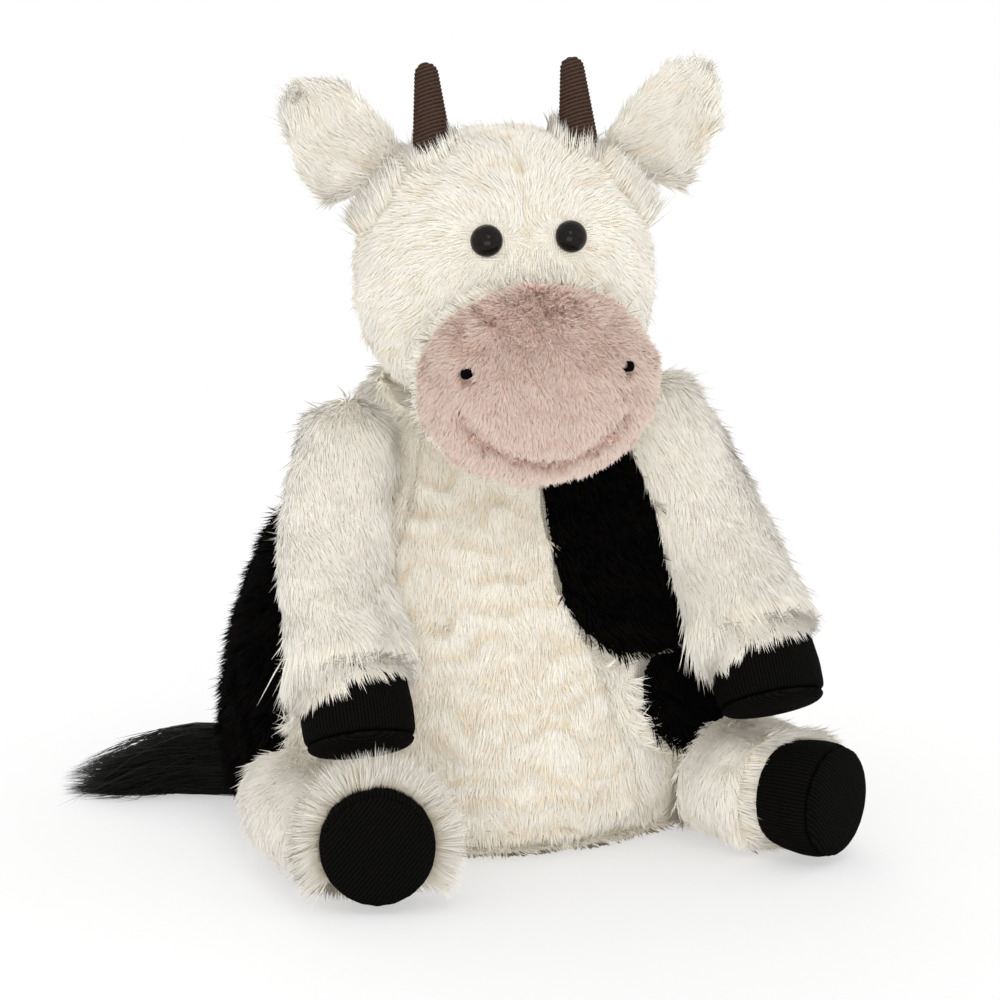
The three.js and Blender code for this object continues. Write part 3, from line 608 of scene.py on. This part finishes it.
# The black patches: panels of a looser black plush, sewn into the chest, the left flank, and the right flank
# with the lower back. The white pile beside them hangs over their seams.
for node, seed in [("chest_patch", 13), ("flank_patch_left", 14), ("rump_panel", 15)]:
    patch_skin = skin(
        node + "_skin", node, "torso", "black_plush", black_backing, 0.0012, voxel=panel_voxel, smoothing=2,
        kept=panel_faces_kept,
    )
    pile(
        node + "_pile", patch_skin, [node], black_pile, per_mm2=1.35, length=0.0065, width=0.0005, comb=down,
        lean=0.8, lock=0.005, seed=seed, keep=outward, depth=0.002, rows=0.4,
    )

fringe_reach = 0.006


def fringe(name, on, node, patches, seed):
    """White pile that hangs over the seams of the black patches."""
    points_on = np.concatenate([node_points(patch) for patch in patches])
    tree = KDTree(len(points_on))
    for i, point in enumerate(points_on):
        tree.insert(point, i)
    tree.balance()

    def comb(points, normals):
        near = np.array([tree.find(point)[0] for point in points.tolist()])
        return unit(near - points) + [0, 0, -0.4]

    def keep(points, normals):
        away = np.sort([distance_to(points, node_points(patch)) for patch in patches], axis=0)
        return (away[0] < fringe_reach) & (away[1] > 1.3 * fringe_reach)

    pile(
        name, on, [node], white_pile, per_mm2=2.4, length=0.0075, width=fibre_width, comb=comb, lean=1.25,
        jitter=0.14, seed=seed, keep=keep, loose=0.2,
    )


fringe("body_fringe", body_skin, "body", black_patches, 16)


# The base: a cloth pouch of pellets in the body's pocket keeps the toy upright, and a flat panel of plush is
# sewn in under it.
pouch_cloth = backing_material("pouch_cloth", (0.62, 0.60, 0.55), (0.55, 0.53, 0.48))
skin("pouch_skin", "pellet_pouch", "torso", "pouch_cloth", pouch_cloth, 0.0)
base_skin = skin(
    "base_skin", "base_panel", "torso", "white_plush", white_backing, 0.0, voxel=0.0011,
    smoothing=1, kept=0.3,
)


def base_rim(points, normals):
    return (normals[:, 2] > -0.6) & outward(points, normals * [1, 1, 0])


everywhere = -1  # a depth that leaves no fibre out where a neighbour is near
pile(
    "base_pile", base_skin, ["base_panel", "belly_panel", "body", *touching], white_pile, per_mm2=2.6,
    length=0.0045, width=fibre_width, comb=down, lean=1.1, seed=17, keep=base_rim, depth=everywhere,
    facing=shown_to(toy_front, 1.0),
)


# The head: a ball of the same long plush, stuffed firmly and seamed down the forehead. It is brushed away
# from the middle of the face, and trimmed short round the eyes.
def middle(node):
    low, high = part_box(node)
    return np.array((low + high) / 2)


head_middle = np.array([0, -0.019, 0.196])
head_turn = math.radians(-9)
face = np.array([math.sin(head_turn), -math.cos(head_turn), 0])
face_right = np.array([math.cos(head_turn), math.sin(head_turn), 0])  # towards the toy's left
eyes = [middle("eye_left"), middle("eye_right")]


def from_face(points, normals):
    centre = head_middle + face * 0.05 + [0, 0, 0.018]
    away = unit(points - centre) + [0, 0, -0.55]
    for eye in eyes:
        near = np.linalg.norm(points - eye, axis=1)
        away += unit(points - eye) * (2.5 * np.exp(-((near / 0.011) ** 2)))[:, None]
    return away


def nearest_of(points, places):
    """How far each point is from the nearest of a few places."""
    return np.min([np.linalg.norm(points - place, axis=1) for place in places], axis=0)


def clear_of_eyes(points, normals):
    return nearest_of(points, eyes) > 0.0052


def short_at_eyes(points):
    return 0.7 + 0.3 * ((nearest_of(points, eyes) - 0.006) / 0.012).clip(0, 1)


def forehead_cleft_shade(points, tint):
    """Painted shade: the plush is tinted warmer and darker in the cleft over the seam of the forehead."""
    beside = np.abs((points - head_middle) @ face_right)
    front = ((points - head_middle) @ face > 0) & (points[:, 2] > 0.208)
    wide = 0.0012 + 0.0008 * ripple(points, 0.009, np.random.default_rng(3))
    return tint - 0.45 * front * np.exp(-((beside / wide) ** 2))


head_skin = skin(
    "head_skin", "head", "head", "white_plush", white_backing, pile_height, voxel=0.0025
)
place = points_of(head_skin.data)
full_at_eyes = 0.0022 * np.exp(-((nearest_of(place, eyes) / 0.011) ** 2))
place += points_of(head_skin.data, "vertex_normals") * full_at_eyes[:, None]
head_skin.data.vertices.foreach_set("co", place.reshape(-1).astype(np.float32))
head_skin.data.update()
pile(
    "head_pile", head_skin, ["head"], white_pile, per_mm2=white_density * 0.96, length=white_length * 0.9,
    width=fibre_width, comb=from_face, seed=21, keep=clear_of_eyes, stretch=short_at_eyes,
    shade=forehead_cleft_shade, facing=shown_to(face, 0.4),
)


# The eyes: glossy black 11 mm safety eyes of moulded plastic. The stem of each is pushed through the plush
# and held inside by a plastic washer.
eye_black, write, shader = new_material("gloss_black")
grime = write.noise(write.place(), 900.0, 2.0)
set_shader(
    write, shader, Base_Color=grime.step(0.3, 0.8).mix((0.006, 0.005, 0.004), (0.012, 0.010, 0.008)),
    Roughness=0.05 + grime * 0.03, Specular_IOR_Level=0.14,
)
eye_radius = 0.0055
eye_dome = 0.0046
for side in ("left", "right"):
    out = unit(middle("eye_" + side) - head_middle)
    front = (node_points("eye_" + side) @ out).max()
    seat = head_middle + out * (front - head_middle @ out - eye_dome)
    dome = bmesh.new()
    bmesh.ops.create_uvsphere(dome, u_segments=48, v_segments=24, radius=eye_radius)
    for vert in dome.verts:
        vert.co.z *= eye_dome / eye_radius
    turn = Vector(out).to_track_quat("Z", "Y").to_matrix().to_4x4()
    dome.transform(Matrix.Translation(seat) @ turn)
    for face_made in dome.faces:
        face_made.smooth = True
    dome_data = bpy.data.meshes.new("eye_dome_" + side)
    dome.to_mesh(dome_data)
    dome.free()
    dome_data.materials.append(eye_black)
    eye_piece = bpy.data.objects.new("eye_dome_" + side, dome_data)
    bpy.context.scene.collection.objects.link(eye_piece)
    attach(eye_piece, "head")
    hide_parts("eye_" + side)
    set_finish(eye_piece, "gloss_black")

washer_plastic, write, shader = new_material("washer_plastic")
cloud = write.noise(write.place(), 300.0, 2.0)
set_shader(write, shader, Base_Color=cloud.mix((0.78, 0.77, 0.74), (0.86, 0.85, 0.82)), Roughness=0.45)
for side in ("left", "right"):
    frame["nodes"]["eye_washer_" + side].data.materials.clear()
    frame["nodes"]["eye_washer_" + side].data.materials.append(washer_plastic)


# The muzzle: a white wall of plush with a front of shorter pink plush, stuffed and sewn to the head. A pulled
# thread draws the smile into the front, and two satin-stitched dots are the nostrils.
def distance_from(node):
    """A function for the distance of points from a node's surface."""
    tree = BVHTree.FromPolygons(node_points(node).tolist(), corners_of(frame["nodes"][node].data).tolist())
    return lambda points: np.array([tree.find_nearest(point)[3] for point in points.tolist()])


from_mouth = distance_from("mouth_thread")
nostrils = [middle("nostril_left"), middle("nostril_right")]
muzzle_low, muzzle_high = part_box("muzzle_front")
muzzle_middle = middle("muzzle_front")
crease_depth = 0.0026
crease_width = 0.0034


def muzzle_back(points, normals):
    return unit(points - (muzzle_middle + face * 0.02)) * 0.6 - face * 0.8 + [0, 0, -0.2]


muzzle_side_skin = skin(
    "muzzle_side_skin", "muzzle_side", "head", "white_plush", white_backing, 0.0022, voxel=0.0015
)
pile(
    "muzzle_side_pile", muzzle_side_skin, ["muzzle_side"], white_pile, per_mm2=3.6, length=0.0066,
    width=0.00029, comb=muzzle_back, seed=22, depth=0.0035, keep=clear_of_eyes, facing=shown_to(face, 1.2),
)
# The pink backing and pile glow: painted light, an emission that stands in for light scattered among the
# fibres.
pink_backing = backing_material(
    "pink_backing", (0.76, 0.55, 0.47), (0.72, 0.51, 0.43), glow=(0.11, 0.070, 0.055)
)
pink_pile = pile_material(
    "pink_pile", root=(0.74, 0.49, 0.37), half_way=(0.74, 0.58, 0.50), tip=(0.78, 0.69, 0.63),
    warm=(0.80, 0.52, 0.39), glow=(0.095, 0.054, 0.040),
)


def muzzle_down(points, normals):
    away = unit(points - (muzzle_middle + [0, 0, 0.012]))
    return away * 0.3 + [0, 0, -1.0]


def up_muzzle(points):
    return ((points[:, 2] - muzzle_low.z) / (muzzle_high.z - muzzle_low.z)).clip(0, 1)


def muzzle_lean(points):
    """The short pile stands up more towards the top."""
    return 0.98 - 0.15 * ((up_muzzle(points) - 0.45) / 0.35).clip(0, 1)


def muzzle_keep(points, normals):
    return (nearest_of(points, nostrils) > 0.0014) & (normals @ face > -0.35)


def muzzle_short(points):
    """Shorter in the crease of the mouth and beside the nostrils."""
    crease = 0.5 + 0.5 * ((from_mouth(points) - 0.0008) / 0.003).clip(0, 1)
    return crease * (0.7 + 0.3 * ((nearest_of(points, nostrils) - 0.002) / 0.002).clip(0, 1))


def muzzle_crease_shade(points, tint):
    """Painted shade, warmer and darker in the crease of the mouth; warmer towards the top."""
    crease = np.exp(-((from_mouth(points) / 0.0026) ** 2))
    return tint + 0.12 - 0.8 * crease - 0.12 * ((up_muzzle(points) - 0.5) / 0.3).clip(0, 1)


front_skin = skin(
    "muzzle_front_skin", "muzzle_front", "head", "pink_plush", pink_backing, 0.0022, voxel=0.0011,
    smoothing=2, kept=1,
)
place = points_of(front_skin.data)
crease = np.exp(-((from_mouth(place) / crease_width) ** 2))
place -= points_of(front_skin.data, "vertex_normals") * (crease_depth * crease)[:, None]
front_skin.data.vertices.foreach_set("co", place.reshape(-1).astype(np.float32))
muzzle_nodes = ["muzzle_front", "muzzle_side", "head", "mouth_thread", "nostril_left", "nostril_right"]
pile(
    "muzzle_front_pile", front_skin, muzzle_nodes, pink_pile, per_mm2=5.3, length=0.0036, width=0.00046,
    comb=muzzle_down, lean_by=muzzle_lean, lock=0.0011, pull=0.5, rows=0.05, jitter=0.3, loose=0, seed=23,
    keep=muzzle_keep, stretch=muzzle_short, shade=muzzle_crease_shade, depth=0.0032, facing=shown_to(face, 0.5),
)
thread_pulled = 0.0004  # thinner than the solid's thread
thread_sunk = 0.0046  # into the crease
pink_thread, write, shader = new_material("pink_thread")
ply = write.noise(write.place(), 1500.0, 2.0)
set_shader(
    write, shader, Base_Color=ply.step(0.3, 0.7).mix((0.44, 0.25, 0.20), (0.52, 0.32, 0.26)), Roughness=0.7,
    Normal=write.bump(ply, 0.0002),
)
thread = bpy.data.objects.new("mouth_thread_ply", frame["nodes"]["mouth_thread"].data.copy())
thread.data.materials.clear()
thread.data.materials.append(pink_thread)
merged = bmesh.new()
merged.from_mesh(thread.data)
bmesh.ops.remove_doubles(merged, verts=merged.verts, dist=1e-6)
merged.to_mesh(thread.data)
merged.free()
place = points_of(thread.data) - points_of(thread.data, "vertex_normals") * thread_pulled
thread.data.vertices.foreach_set("co", (place - face * thread_sunk).reshape(-1).astype(np.float32))
thread.data.update()
bpy.context.scene.collection.objects.link(thread)
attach(thread, "head")
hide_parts("mouth_thread")
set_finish(thread, "pink_thread")

strand_pitch = 0.0004
black_thread, write, shader = new_material("black_thread")
strand = write.math("SINE", write.split(write.place())[0] * (2 * math.pi / strand_pitch))
set_shader(
    write, shader, Base_Color=(strand * 0.5 + 0.5).mix((0.001, 0.001, 0.001), (0.006, 0.0055, 0.005)),
    Roughness=0.9, Specular_IOR_Level=0.02, Normal=write.bump(strand, 0.0001),
)
for side in ("left", "right"):
    frame["nodes"]["nostril_" + side].data.materials.clear()
    frame["nodes"]["nostril_" + side].data.materials.append(black_thread)


# The horns: brown needlecord tubes, stuffed hard and sewn to the top of the head, with the cord's ribs running
# round them. The head's pile stands up round their roots.
def cord_material(name, ribs_of, dark, light):
    """Needlecord: furrows and ribs, with fuzz that breaks them up. Its colour is darker in the furrows, painted
    shade.
    """
    material, write, shader = new_material(name)
    ribs = ribs_of(write)
    fuzz = write.noise(write.place(), 1600.0, 3.0)
    height = ribs * 0.75 + fuzz.step(0.35, 0.7) * 0.35
    set_shader(
        write, shader, Base_Color=height.clamp().mix(dark, light), Roughness=0.9, Specular_IOR_Level=0.02,
        Normal=write.bump(height, 0.0005),
    )
    return material


def panel_ribs(way):
    """Straight ribs across a way."""

    def ribs(write):
        dot = write.node(
            "ShaderNodeVectorMath", {"operation": "DOT_PRODUCT"}, _0=write.place(), _1=tuple(way)
        )
        wave = write.math("SINE", write.wrap(dot.outputs["Value"]) * (math.pi / cord_pitch))
        return write.math("ABSOLUTE", wave)

    return ribs


cord_brown = ((0.032, 0.018, 0.013), (0.100, 0.062, 0.046))
cord_pitch = 0.0013
rib_height = 0.0005
for side in ("left", "right"):
    node = "horn_" + side
    points = node_points(node)
    along = np.linalg.svd(points - points.mean(0), full_matrices=False)[2][0]
    along = unit(along * np.sign(along[2]) - face_right * 0.25)
    horn_cord = cord_material(node + "_cord", panel_ribs(along), *cord_brown)
    horn = skin(
        node + "_skin", node, "head", "brown_cord", horn_cord, voxel=0.0004, smoothing=3, kept=1
    )
    place, normals = points_of(horn.data), points_of(horn.data, "vertex_normals")
    rib = np.abs(np.sin(math.pi * (place @ along) / cord_pitch))
    place += normals * (rib_height * (rib - 0.6))[:, None]
    horn.data.vertices.foreach_set("co", place.reshape(-1).astype(np.float32))
    horn.data.update()
    horn_root = points[points[:, 2] < points[:, 2].min() + 0.004].mean(0)

    def round_root(points, normals):
        return np.linalg.norm(points - horn_root, axis=1) < 0.012

    def up_horn(points, normals):
        return unit(horn_root - points) * 0.6 + along

    pile(
        node + "_root_pile", head_skin, ["head", node], white_pile, per_mm2=3.2, length=0.009,
        width=fibre_width, comb=up_horn, lean=0.8, seed=24, keep=round_root, depth=everywhere,
    )


# The ears: two leaves of the long plush each, sewn round the edge, turned, and folded at the root. They are
# brushed towards the tip, and the head's pile stands up round their roots.
def towards(target):
    def comb(points, normals):
        return np.array(target) - points

    return comb


def beyond(start, end):
    """How far points have come from one end to the other, as a share."""
    way = end - start

    def share(points):
        return (points - start) @ way / (way @ way)

    return share


for side, hand in [("left", 1), ("right", -1)]:
    ear = "ear_" + side
    ear_low, ear_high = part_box(ear)
    tip = np.array([ear_high.x if hand > 0 else ear_low.x, middle(ear)[1], ear_high.z])
    root = middle(ear) * 2 - tip
    ear_share = beyond(root, tip)
    past_tip = towards(tip + (tip - root) * 0.5)

    def ear_fold_shade(points, tint):
        """Painted shade in the fold down the middle of the leaf, warmer and darker towards its root."""
        share = ear_share(points)
        off = np.linalg.norm((points - root) - share[:, None] * (tip - root), axis=1)
        return tint - 0.25 * np.exp(-((off / 0.004) ** 2)) * (1.1 - share).clip(0, 1)

    def tufted(points):
        """Longer at the tip of the leaf, where the plush is left untrimmed."""
        return 1 + 0.4 * ((ear_share(points) - 0.7) / 0.3).clip(0, 1)

    def near_ear(points, normals):
        return np.linalg.norm(points - root, axis=1) < 0.019

    ear_skin = skin(ear + "_skin", ear, ear, "white_plush", white_backing, 0.001, voxel=0.0015)
    pile(
        ear + "_pile", ear_skin, [ear], white_pile, per_mm2=3.7, length=0.0070, width=0.00031, comb=past_tip,
        lean=1.38, facing=shown_to(face, 1.5, -0.75), seed=31, depth=0.002, shade=ear_fold_shade, stretch=tufted,
    )
    pile(
        ear + "_root", head_skin, ["head", ear], white_pile, per_mm2=3.2, length=0.0115, width=0.00031,
        comb=past_tip, lean=0.95, seed=34, keep=near_ear, depth=everywhere, loose=0.1,
        facing=shown_to(face, 0.8, -0.2),
    )


# The arms: tubes of the long plush, stuffed softly and sewn on at the shoulder, brushed down to the hoof. The
# pile of the last row is longer and hangs over the hoof's cord.
limb_pile_height = 0.0026


# Painted light: the pile of the arms and legs is tinted paler, as if more light reached it.
def limbs_painted_light(points, tint):
    return tint + 0.22


def along_axis(axis):
    return lambda points, normals: np.tile(axis, (len(points), 1))


def cuff(name, on, own, way, reach, length, lean, seed, longer=None):
    """The long pile at a limb's end, which hangs over the hoof."""
    from_hoof = distance_from(own[1])

    def keep(points, normals):
        return (from_hoof(points) < reach) & (normals @ way < 0.9) & (normals[:, 2] > -0.8)

    pile(
        name, on, own, white_pile, per_mm2=5.6, length=length, width=0.00031, comb=along_axis(way),
        lean=lean, seed=seed, keep=keep, stretch=longer, depth=everywhere, loose=0.05, jitter=0.09, pull=0.25,
        facing=shown_to(toy_front, 1.0), along_skin=False,
    )


for side in ("left", "right"):
    arm = "arm_" + side
    arm_nodes = [arm, "hand_hoof_" + side, "hand_end_" + side]
    hoof_top = middle("hand_hoof_" + side)
    arm_share = beyond(middle(arm), hoof_top)
    down_arm = unit(hoof_top - middle(arm))

    def shoulder_lean(points):
        """The pile stands up where it parts at the top of the shoulder."""
        return 1.36 + 0.12 * ((arm_share(points) + 0.55) / 0.35).clip(-1, 0)

    def long_ends(points):
        """Longer over the shoulder, and where it hangs over the hoof."""
        share = arm_share(points)
        return 1 + 0.2 * ((-0.5 - share) / 0.3).clip(0, 1) + 0.2 * ((share - 0.35) / 0.25).clip(0, 1)

    def not_end(points, normals):
        return normals @ down_arm < 0.55

    def outer_longer(points):
        """The cuff hangs lower on one side."""
        return 1 + 0.3 * ((points - hoof_top) @ np.array([-1, 0, 0]) / 0.02).clip(-0.4, 1)

    arm_skin = skin(arm + "_skin", arm, arm, "white_plush", white_backing, limb_pile_height)
    pile(
        arm + "_pile", arm_skin, [*arm_nodes, *torso_nodes], white_pile, per_mm2=white_density,
        length=white_length, width=fibre_width, comb=towards(middle("hand_end_" + side) * 2 - middle(arm)),
        seed=32, lean_by=shoulder_lean, stretch=long_ends, keep=not_end, facing=shown_to(toy_front, 0.6),
        shade=limbs_painted_light,
    )
    cuff(arm + "_cuff", arm_skin, arm_nodes, down_arm, 0.011, 0.0130, 1.42, 36, outer_longer)


# The legs: short tubes of the same plush, stuffed and sewn on at the hip, brushed down and forwards. The toy's
# right leg points at the viewer, and its last row stands out in a ring round the sole.
def leg_comb(forward):
    return lambda points, normals: np.tile(forward * 0.3 + [0, 0, -1], (len(points), 1))


for side, cuff_lean in [("left", 1.35), ("right", 1.0)]:
    leg = "leg_" + side
    leg_nodes = [leg, "foot_hoof_" + side, "foot_sole_" + side]
    foot_middle = middle("foot_sole_" + side)
    leg_share = beyond(middle(leg), foot_middle)

    def fluffy_cuff(points):
        return 1.36 - 0.3 * ((leg_share(points) - 0.6) / 0.3).clip(0, 1)

    leg_skin = skin(leg + "_skin", leg, leg, "white_plush", white_backing, limb_pile_height)
    pile(
        leg + "_pile", leg_skin, [*leg_nodes, *torso_nodes], white_pile, per_mm2=white_density,
        length=white_length, width=fibre_width, comb=leg_comb(unit(foot_middle - middle(leg))),
        across=(0, 1, 0), seed=33, lean_by=fluffy_cuff, facing=shown_to(toy_front, 1.2), shade=limbs_painted_light,
    )
    leg_end = unit(foot_middle - middle("foot_hoof_" + side))
    cuff(leg + "_cuff", leg_skin, leg_nodes, leg_end, 0.009, 0.0095, cuff_lean, 37)


# The hooves: black needlecord, a band whose ribs run along the limb, and an end panel whose ribs run across it.
# The white pile of the limb hangs over the seam between them.
def band_ribs(centre, axis, girth):
    """Ribs that run along an axis, counted round it."""
    across = Vector(axis).orthogonal().normalized()
    over = Vector(axis).cross(across)

    def ribs(write):
        subtract = {"operation": "SUBTRACT"}
        shifted = write.node("ShaderNodeVectorMath", subtract, _0=write.place(), _1=tuple(centre))
        sides = []
        for way in (across, over):
            dot_product = {"operation": "DOT_PRODUCT"}
            dot = write.node(
                "ShaderNodeVectorMath", dot_product, _0=write.wrap(shifted.outputs[0]), _1=tuple(way)
            )
            sides.append(write.wrap(dot.outputs["Value"]))
        turn = write.math("ARCTAN2", *sides)
        return write.math("ABSOLUTE", write.math("SINE", turn * (round(girth / cord_pitch) / 2)))

    return ribs


def over_hoof(start, end, cover, lower):
    """The part of a hoof that the pile of its limb hangs over, with a ragged edge."""
    share = beyond(start, end)

    def keep(points, normals):
        ragged = 0.05 * ripple(points, 0.006, np.random.default_rng(5))
        inward = (points - start) @ unit(end - start)
        limit = cover + ragged + lower * ((start - points)[:, 0] / 0.02).clip(-0.7, 1)
        return (share(points) < limit) & (inward < np.linalg.norm(end - start)) & (normals[:, 2] > -0.6)

    return keep


def hoof_skin(name, node, body, cord):
    return skin(name, node, body, "black_cord", cord, 0.0, voxel=0.0009, smoothing=25)


cord_black = ((0.0012, 0.0012, 0.0011), (0.0065, 0.006, 0.0055))
for side, hand in [("left", 1), ("right", -1)]:
    for band, end, body, way, cover, lower, long_ring in [
        ("hand_hoof_", "hand_end_", "arm_", (0, 0.3, 1), 0.2, 0.2, False),
        ("foot_hoof_", "foot_sole_", "leg_", (0.8 * hand, 0, 0.6), 0.0 if hand > 0 else 0.62, 0, True),
    ]:
        points = node_points(end + side)
        axis = np.linalg.svd(points - points.mean(0), full_matrices=False)[2][2]
        axis = axis * np.sign(axis @ (middle(end + side) - middle(band + side)))
        girth = 2 * math.pi * np.linalg.norm(points - points.mean(0), axis=1).max() * 0.95
        band_cord = cord_material(
            band + "cord_" + side, band_ribs(middle(end + side), axis, girth), *cord_black
        )
        flat_way = unit(np.array(way) - axis * (np.array(way) @ axis))
        end_cord = cord_material(end + "cord_" + side, panel_ribs(flat_way), *cord_black)
        band_skin = hoof_skin(band + side + "_skin", band + side, body + side, band_cord)
        depths = (node_points(band + side) - middle(end + side)) @ axis
        rear = middle(end + side) + axis * depths.min()
        if cover:
            pile(
                band + side + "_cuff", band_skin, [band + side, end + side, body + side], white_pile,
                per_mm2=4.0, length=0.0115 if long_ring else 0.0065, width=0.00028, comb=along_axis(axis),
                lean=0.62 if long_ring else 1.42, loose=0.1, jitter=0.12, slot="white_plush", seed=35,
                keep=over_hoof(rear, middle(end + side), cover, lower), depth=0.0,
                facing=along_axis(axis) if long_ring else None,
            )
        hoof_skin(end + side + "_skin", end + side, body + side, end_cord)


# The tail: a stuffed stub of black plush that lies round the rump, and a tuft of long straight hair that is
# sewn into its end. Each hair is a thin three-sided rod, and the hairs hang together in locks.
stub_skin = skin("tail_stub_skin", "tail_stub", "tail", "black_plush", black_backing, 0.002)
pile(
    "tail_stub_pile", stub_skin, ["tail_stub", "tail_tuft"], black_pile, per_mm2=1.5, length=0.0065,
    width=0.0005, comb=towards(middle("tail_tuft")), lean=0.7, lock=0.005, seed=41, depth=0.002,
)
tail_hair, write, shader = new_material("tail_hair")
tint, along, _ = write.split(write.place("UV"))
set_shader(
    write, shader, Base_Color=(tint * 0.7 + along * 0.3).mix((0.002, 0.002, 0.0015), (0.020, 0.020, 0.015)),
    Roughness=0.5, Specular_IOR_Level=0.12,
)
hair_count = 2300
hair_locks = 46
hair_steps = 6
hair_width = 0.00034
rng = np.random.default_rng(42)
tuft = node_points("tail_tuft")
tuft_low, tuft_high = tuft.min(0), tuft.max(0)
root_end = tuft[tuft[:, 0] > tuft_high[0] - 0.004].mean(0)
tip_end = tuft[tuft[:, 0] < tuft_low[0] + 0.006].mean(0)
out = unit((tip_end - root_end) * [1, 1, 0])
beside = np.array([-out[1], out[0], 0])
high = tuft_high[2]
turn, ring = rng.uniform(0, 2 * math.pi, hair_count), np.sqrt(rng.random(hair_count))
root_side = np.cos(turn) * ring * 0.0065
root_high = (high / 2) * (1 + np.sin(turn) * ring * 0.97)
reach = np.linalg.norm((tip_end - root_end)[:2]) * (1.06 - 0.45 * rng.random(hair_count) ** 2.2)
hair_lock = rng.integers(0, hair_locks, hair_count)
lock_turn, lock_rise, lock_reach = rng.normal(size=(3, hair_locks))
lock_angle = 0.10 * lock_turn[hair_lock] + 0.016 * rng.normal(size=hair_count)
lock_angle += 0.12 * rng.normal(size=hair_count) * (rng.random(hair_count) < 0.06)
reach *= (1 + 0.12 * lock_reach[hair_lock].clip(-2, 1)) * (1.03 - 0.1 * root_high / high)
t = np.linspace(0, 1, hair_steps + 1)[None, :]
forward = reach[:, None] * t
sidestep = root_side[:, None] * (1 - 0.3 * t) + (lock_angle * reach)[:, None] * t**2
rise = 0.005 * lock_rise[hair_lock] + 0.001 * rng.normal(size=hair_count)
height = root_high[:, None] * (1 + 0.45 * t * (1 - t)) * (1 - 0.78 * t**2.2) + rise[:, None] * t**2
height = np.maximum(height, 0.0008 + 0.001 * rng.random((hair_count, 1)))
start = root_end - out * 0.002
lines = start + forward[..., None] * out + sidestep[..., None] * beside
lines[..., 2] = height
ring_turn = np.arange(3) * 2 * math.pi / 3
taper = np.array([0.7, 1, 1, 1, 0.9, 0.6])
round_hair = np.cos(ring_turn)[None, None, :, None] * beside
round_hair = round_hair + np.sin(ring_turn)[None, None, :, None] * np.array([0, 0, 1])
rings = lines[:, :-1, None, :] + round_hair * (hair_width / 2 * taper)[None, :, None, None]
co = np.concatenate([rings.reshape(hair_count, -1, 3), lines[:, -1:, :]], axis=1)
faces = [[0, 1, 2]]
for step_at in range(hair_steps - 1):
    for k in range(3):
        a, b = step_at * 3 + k, step_at * 3 + (k + 1) % 3
        faces += [[a, a + 3, b + 3], [a, b + 3, b]]
last = (hair_steps - 1) * 3
faces += [[last + k, hair_steps * 3, last + (k + 1) % 3] for k in range(3)]
per_hair = hair_steps * 3 + 1
corners = np.array(faces)[None] + np.arange(hair_count)[:, None, None] * per_hair
corners = corners.reshape(-1).astype(np.int32)
hair_mesh = bpy.data.meshes.new("tail_tuft_hair")
hair_mesh.vertices.add(len(co) * per_hair)
hair_mesh.vertices.foreach_set("co", co.reshape(-1).astype(np.float32))
hair_mesh.loops.add(len(corners))
hair_mesh.loops.foreach_set("vertex_index", corners)
hair_mesh.polygons.add(len(corners) // 3)
hair_mesh.polygons.foreach_set("loop_start", np.arange(0, len(corners), 3, dtype=np.int32))
along_hair = np.append(np.repeat(np.arange(hair_steps) / hair_steps, 3), 1) * 0.98 + 0.01
uv = np.stack(np.broadcast_arrays(rng.random((hair_count, 1)) * 0.96 + 0.02, along_hair[None]), axis=-1)
layer = hair_mesh.uv_layers.new(name="OFBake")
layer.uv.foreach_set("vector", uv.reshape(-1, 2)[corners].reshape(-1).astype(np.float32))
hair_mesh.update()
hair_mesh.materials.append(tail_hair)
hair = bpy.data.objects.new("tail_tuft_hair", hair_mesh)
bpy.context.scene.collection.objects.link(hair)
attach(hair, "tail")
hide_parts("tail_tuft")
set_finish(hair, "tail_hair")
